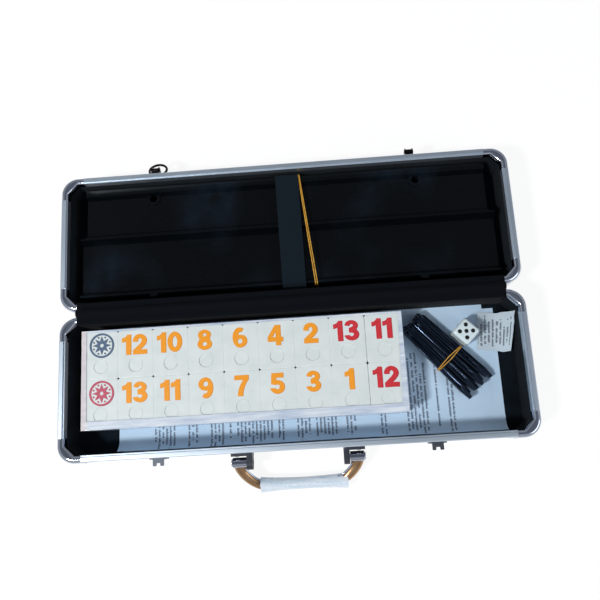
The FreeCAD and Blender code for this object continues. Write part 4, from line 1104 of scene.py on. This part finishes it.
FIGURES = {
    "0": (0.72, [ring(0, 0.5, 0.36, 0.5), ring(0, 0.5, 0.125, 0.28)]),
    "1": (0.46, [[(-0.03, 0), (0.22, 0), (0.22, 1.0), (0.03, 1.0), (-0.02, 0.92), (-0.1, 0.86),
                  (-0.23, 0.83), (-0.23, 0.62), (-0.13, 0.64), (-0.03, 0.69)]]),
    "2": (0.72, [arc(0, 0.67, 0.345, 0.33, -28, 186, 26) + [(-0.1, 0.62)]
                 + arc(0, 0.67, 0.1, 0.125, 190, -30, 16)
                 + [(0.0, 0.5), (-0.34, 0.2), (-0.34, 0), (0.35, 0), (0.35, 0.22), (0.02, 0.22), (0.2, 0.38)]]),
    "3": (0.72, [arc(-0.01, 0.735, 0.32, 0.265, 176, -42, 24) + arc(-0.01, 0.295, 0.355, 0.295, 46, -172, 28)
                 + [(-0.12, 0.27)] + arc(-0.01, 0.295, 0.11, 0.09, 195, 440, 18)
                 + [(-0.13, 0.39), (-0.13, 0.61)]
                 + arc(-0.01, 0.735, 0.09, 0.075, -80, 170, 16) + [(-0.11, 0.72)]]),
    "4": (0.76, [[(0.03, 0), (0.27, 0), (0.27, 0.19), (0.38, 0.19), (0.38, 0.4), (0.27, 0.4), (0.27, 1.0),
                  (0.0, 1.0), (-0.37, 0.41), (-0.37, 0.19), (0.03, 0.19)],
                 [(0.03, 0.4), (0.03, 0.7), (-0.15, 0.4)]]),
    "5": (0.72, [[(-0.27, 1.0), (0.29, 1.0), (0.29, 0.78), (-0.06, 0.78), (-0.075, 0.64)]
                 + arc(-0.01, 0.33, 0.355, 0.33, 96, -170, 30) + [(-0.12, 0.27)]
                 + arc(-0.01, 0.33, 0.115, 0.12, 200, 470, 20) + [(-0.1, 0.44), (-0.31, 0.47)]]),
    "6": (0.72, SIX),
    "7": (0.7, [[(-0.34, 1.0), (0.35, 1.0), (0.35, 0.8), (0.24, 0.64), (0.14, 0.43), (0.07, 0.2), (0.055, 0),
                 (-0.2, 0), (-0.18, 0.2), (-0.11, 0.42), (-0.01, 0.62), (0.1, 0.78), (-0.34, 0.78)]]),
    "8": (0.72, [arc(0, 0.745, 0.315, 0.255, -36, 216, 28) + arc(0, 0.285, 0.355, 0.285, 138, 402, 30),
                 ring(0, 0.745, 0.095, 0.08), ring(0, 0.29, 0.12, 0.1)]),
    "9": (0.72, [[(-x, 1 - y) for x, y in loop] for loop in SIX]),
}


def flat_print(name, loops, place, size_mm, material):
    """Fills loops, with the inner ones as holes, as a thin layer of ink at a place."""
    curve = bpy.data.curves.new(name, "CURVE")
    curve.dimensions = "2D"
    curve.fill_mode = "BOTH"
    curve.extrude = 0.03 / size_mm
    curve.bevel_depth = 0.04 / size_mm
    curve.bevel_resolution = 1
    for loop in loops:
        spline = curve.splines.new("POLY")
        spline.points.add(len(loop) - 1)
        for point, (x, y) in zip(spline.points, loop):
            point.co = (x, y, 0, 1)
        spline.use_cyclic_u = True
    piece = bpy.data.objects.new(name, curve)
    bpy.context.collection.objects.link(piece)
    only(piece)
    bpy.ops.object.convert(target="MESH")
    piece = bpy.context.object
    piece.scale = (size_mm * MM,) * 3
    piece.location = place
    piece.data.materials.append(material)
    return settle(piece)


def print_with_painted_shade(name, loops, place, size_mm, ink, side):
    """A number in ink over a darker copy shifted right and to the front, which is painted shade of its engraving
    along its right and front edges.
    """
    top = flat_print(name, loops, place, size_mm, ink)
    # painted shade: a darker copy under the ink, shifted right and to the front
    under = flat_print("side", loops, place + Vector((0.3, -0.16, -0.03)) * MM, size_mm, side)
    piece = join_pieces([top, under])
    piece.data.name = name
    bpy.ops.object.shade_smooth_by_angle(angle=math.radians(40))
    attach(piece, "tile_pack")


def number_loops(text, gap=0.07):
    total = sum(FIGURES[c][0] for c in text) + gap * (len(text) - 1)
    x = -total / 2
    loops = []
    for c in text:
        width, shapes = FIGURES[c]
        x += width / 2
        loops += [[(px + x, py) for px, py in loop] for loop in shapes]
        x += width / 2 + gap
    return loops


def star_loops(points, outer, inner):
    """A plain star in two rings, the mark of the two wild tiles."""
    star = []
    for k in range(2 * points):
        reach = outer if k % 2 == 0 else inner
        angle = math.pi / 2 + math.pi * k / points
        star.append((reach * math.cos(angle), reach * math.sin(angle)))
    beads = [ring(6.55 * math.cos(a), 6.55 * math.sin(a), 0.62, 0.62, 14)
             for a in (math.pi / 2 + math.pi * (2 * k + 1) / points for k in range(points))]
    return [ring(0, 0, 9.3, 9.3, 64), ring(0, 0, 7.95, 7.95, 64), star, ring(0, 0, 1.5, 1.5, 24)] + beads


def tile_prints():
    pitch, play, places = tile_places()
    texts = [["*", "12", "10", "8", "6", "4", "2", "13r", "11r"],
             ["*r", "13", "11", "9", "7", "5", "3", "1", "12r"]]
    height = 15.2
    for row, column, corner in places:
        text = texts[row][column]
        middle = corner + Vector(((pitch.x - play) / 2, 0, 0.02 * MM))
        name = "tile_print_%d_%d" % (row + 1, column + 1)
        if text == "*":
            print_with_painted_shade(name, star_loops(8, 6.9, 3.4), middle + Vector((0.8, -10.3, 0)) * MM, 1.0,
                           BLUE_GREY, BLUE_GREY_PAINTED_SHADE)
        elif text == "*r":
            print_with_painted_shade(name, star_loops(8, 6.9, 3.4), middle + Vector((0.8, -10.3, 0)) * MM, 1.0,
                           ROSE, ROSE_PAINTED_SHADE)
        else:
            inks = (RED, RED_PAINTED_SHADE) if text.endswith("r") else (ORANGE, ORANGE_PAINTED_SHADE)
            place = middle + Vector((-0.7, -10.9 - height / 2, 0)) * MM
            print_with_painted_shade(name, number_loops(text.rstrip("r")), place, height, *inks)


tile_prints()


# Black paint in the die's pips

def die_pips():
    low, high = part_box("game_die")
    centre = (low + high) / 2
    half = (high.z - low.z) / 2
    corner, other, side = [(-1, -1), (1, 1)], [(-1, 1), (1, -1)], [(-1, 0), (1, 0)]
    layouts = {1: [(0, 0)], 2: corner, 3: corner + [(0, 0)], 4: corner + other,
               5: corner + other + [(0, 0)], 6: corner + other + side}
    faces = ((5, (0, 0, 1), (1, 0, 0)), (2, (0, 0, -1), (1, 0, 0)), (1, (1, 0, 0), (0, 1, 0)),
             (6, (-1, 0, 0), (0, 1, 0)), (3, (0, 1, 0), (0, 0, 1)), (4, (0, -1, 0), (0, 0, 1)))
    turn = Matrix.Scale(-1, 3, (0, 1, 0)) @ Matrix.Rotation(math.radians(DIE_TURN), 3, "Z")
    made = []
    for count, out, across in faces:
        out, across = Vector(out), Vector(across)
        up = out.cross(across)
        for a, b in layouts[count]:
            spot = out * (half - 0.33 * MM) + across * a * 3.5 * MM + up * b * 3.5 * MM
            normal = turn @ out
            bpy.ops.object.select_all(action="DESELECT")
            bpy.ops.mesh.primitive_cylinder_add(vertices=24, radius=1.6 * MM, depth=0.12 * MM,
                                                location=centre + turn @ spot,
                                                rotation=normal.to_track_quat("Z", "Y").to_euler())
            made.append(bpy.context.object)
            # the paint's edge creeps up the pip's wall
            bpy.ops.object.mode_set(mode="EDIT")
            bpy.ops.mesh.select_all(action="SELECT")
            bpy.ops.mesh.bevel(offset=0.03 * MM, segments=2)
            bpy.ops.object.mode_set(mode="OBJECT")
    finish_piece(join_pieces(made), "die_pip_paint", PIP, "base", "die_plastic")


DIE_TURN = 45.0
die_pips()


# Floor, light and camera

def stage_floor():
    bpy.ops.object.select_all(action="DESELECT")
    bpy.ops.mesh.primitive_plane_add(size=8, location=(0, 0, -0.0002))
    floor = bpy.context.object
    floor.name = "studio_floor"
    made = bpy.data.materials.new("white_paper_floor")
    made.use_nodes = True
    tree = made.node_tree
    tree.nodes.clear()
    path = add_node(tree, "LightPath")
    seen = add_node(tree, "Math", {0: path.outputs["Is Camera Ray"], 1: path.outputs["Is Glossy Ray"]},
                    operation="MAXIMUM").outputs[0]
    seen = add_node(tree, "Math", {0: seen, 1: path.outputs["Is Transmission Ray"]}, operation="MAXIMUM").outputs[0]
    share = add_node(tree, "Math", {0: seen, 1: 0.84}, operation="MULTIPLY").outputs[0]
    paper = add_node(tree, "BsdfDiffuse", {"Color": (0.9, 0.9, 0.9, 1)}).outputs[0]
    glow = add_node(tree, "Emission", {"Color": (1, 1, 1, 1), "Strength": 1.05}).outputs[0]
    mixed = add_node(tree, "MixShader", {0: share, 1: paper, 2: glow}).outputs[0]
    add_node(tree, "OutputMaterial", {"Surface": mixed})
    floor.data.materials.append(made)


def studio_world():
    """White to the camera. For the rest it is a room with lit walls and a dim ceiling, darkest over the
    case and towards its back, so that flat glossy tops stay dark and round edges gleam."""
    world = bpy.data.worlds.new("studio")
    bpy.context.scene.world = world
    world.use_nodes = True
    tree = world.node_tree
    tree.nodes.clear()
    direction = add_node(tree, "TexCoord").outputs["Generated"]
    parts = add_node(tree, "SeparateXYZ", {0: direction})
    height = add_node(tree, "ValToRGB", {0: parts.outputs[2]})
    levels = ((0.03, (0.3, 0.29, 0.29, 1)), (0.22, (0.2, 0.2, 0.21, 1)), (0.5, (0.58, 0.6, 0.64, 1)),
              (0.75, (0.44, 0.46, 0.5, 1)), (0.93, (0.17, 0.18, 0.21, 1)))
    for place, colour in levels[1:-1]:
        height.color_ramp.elements.new(place)
    for element, (place, colour) in zip(height.color_ramp.elements, levels):
        element.position = place
        element.color = colour
    depth = add_node(tree, "MapRange", {"Value": parts.outputs[1], "From Min": -0.6, "From Max": 0.6,
                                        "To Min": 1.25, "To Max": 0.75}).outputs[0]
    lit = add_node(tree, "Background", {"Color": height.outputs[0], "Strength": depth}).outputs[0]
    white = add_node(tree, "Background", {"Color": (1, 1, 1, 1), "Strength": 1.0}).outputs[0]
    path = add_node(tree, "LightPath")
    mixed = add_node(tree, "MixShader", {0: path.outputs["Is Camera Ray"], 1: lit, 2: white}).outputs[0]
    add_node(tree, "OutputWorld", {"Surface": mixed})


def soft_lamp(name, place, power, size):
    lamp = bpy.data.lights.new(name, "AREA")
    lamp.shape = "RECTANGLE"
    lamp.size, lamp.size_y = size
    lamp.energy = power
    made = bpy.data.objects.new(name, lamp)
    made.location = place
    made.rotation_euler = (Vector((0, 0.05, 0)) - Vector(place)).to_track_quat("-Z", "Y").to_euler()
    bpy.context.collection.objects.link(made)


def main_camera():
    """The photograph's viewpoint: almost straight down, half a metre above the case."""
    lens = bpy.data.cameras.new("camera")
    lens.lens = 39.0
    lens.sensor_width = 36.0
    made = bpy.data.objects.new("camera", lens)
    turn = (Matrix.Rotation(math.radians(3.819), 3, "Z") @ Matrix.Rotation(math.radians(-2.141), 3, "Y")
            @ Matrix.Rotation(math.radians(-11.917), 3, "X"))
    made.matrix_world = Matrix.Translation((0.02691, -0.04479, 0.51082)) @ turn.transposed().to_4x4()
    bpy.context.collection.objects.link(made)
    bpy.context.scene.camera = made


stage_floor()
studio_world()
soft_lamp("window_left", (-0.86, -0.5, 1.34), 17.2, (0.18, 0.18))
soft_lamp("window_right", (1.2, -0.55, 0.9), 4, (0.9, 0.7))
main_camera()

bpy.context.scene.view_settings.view_transform = "Standard"
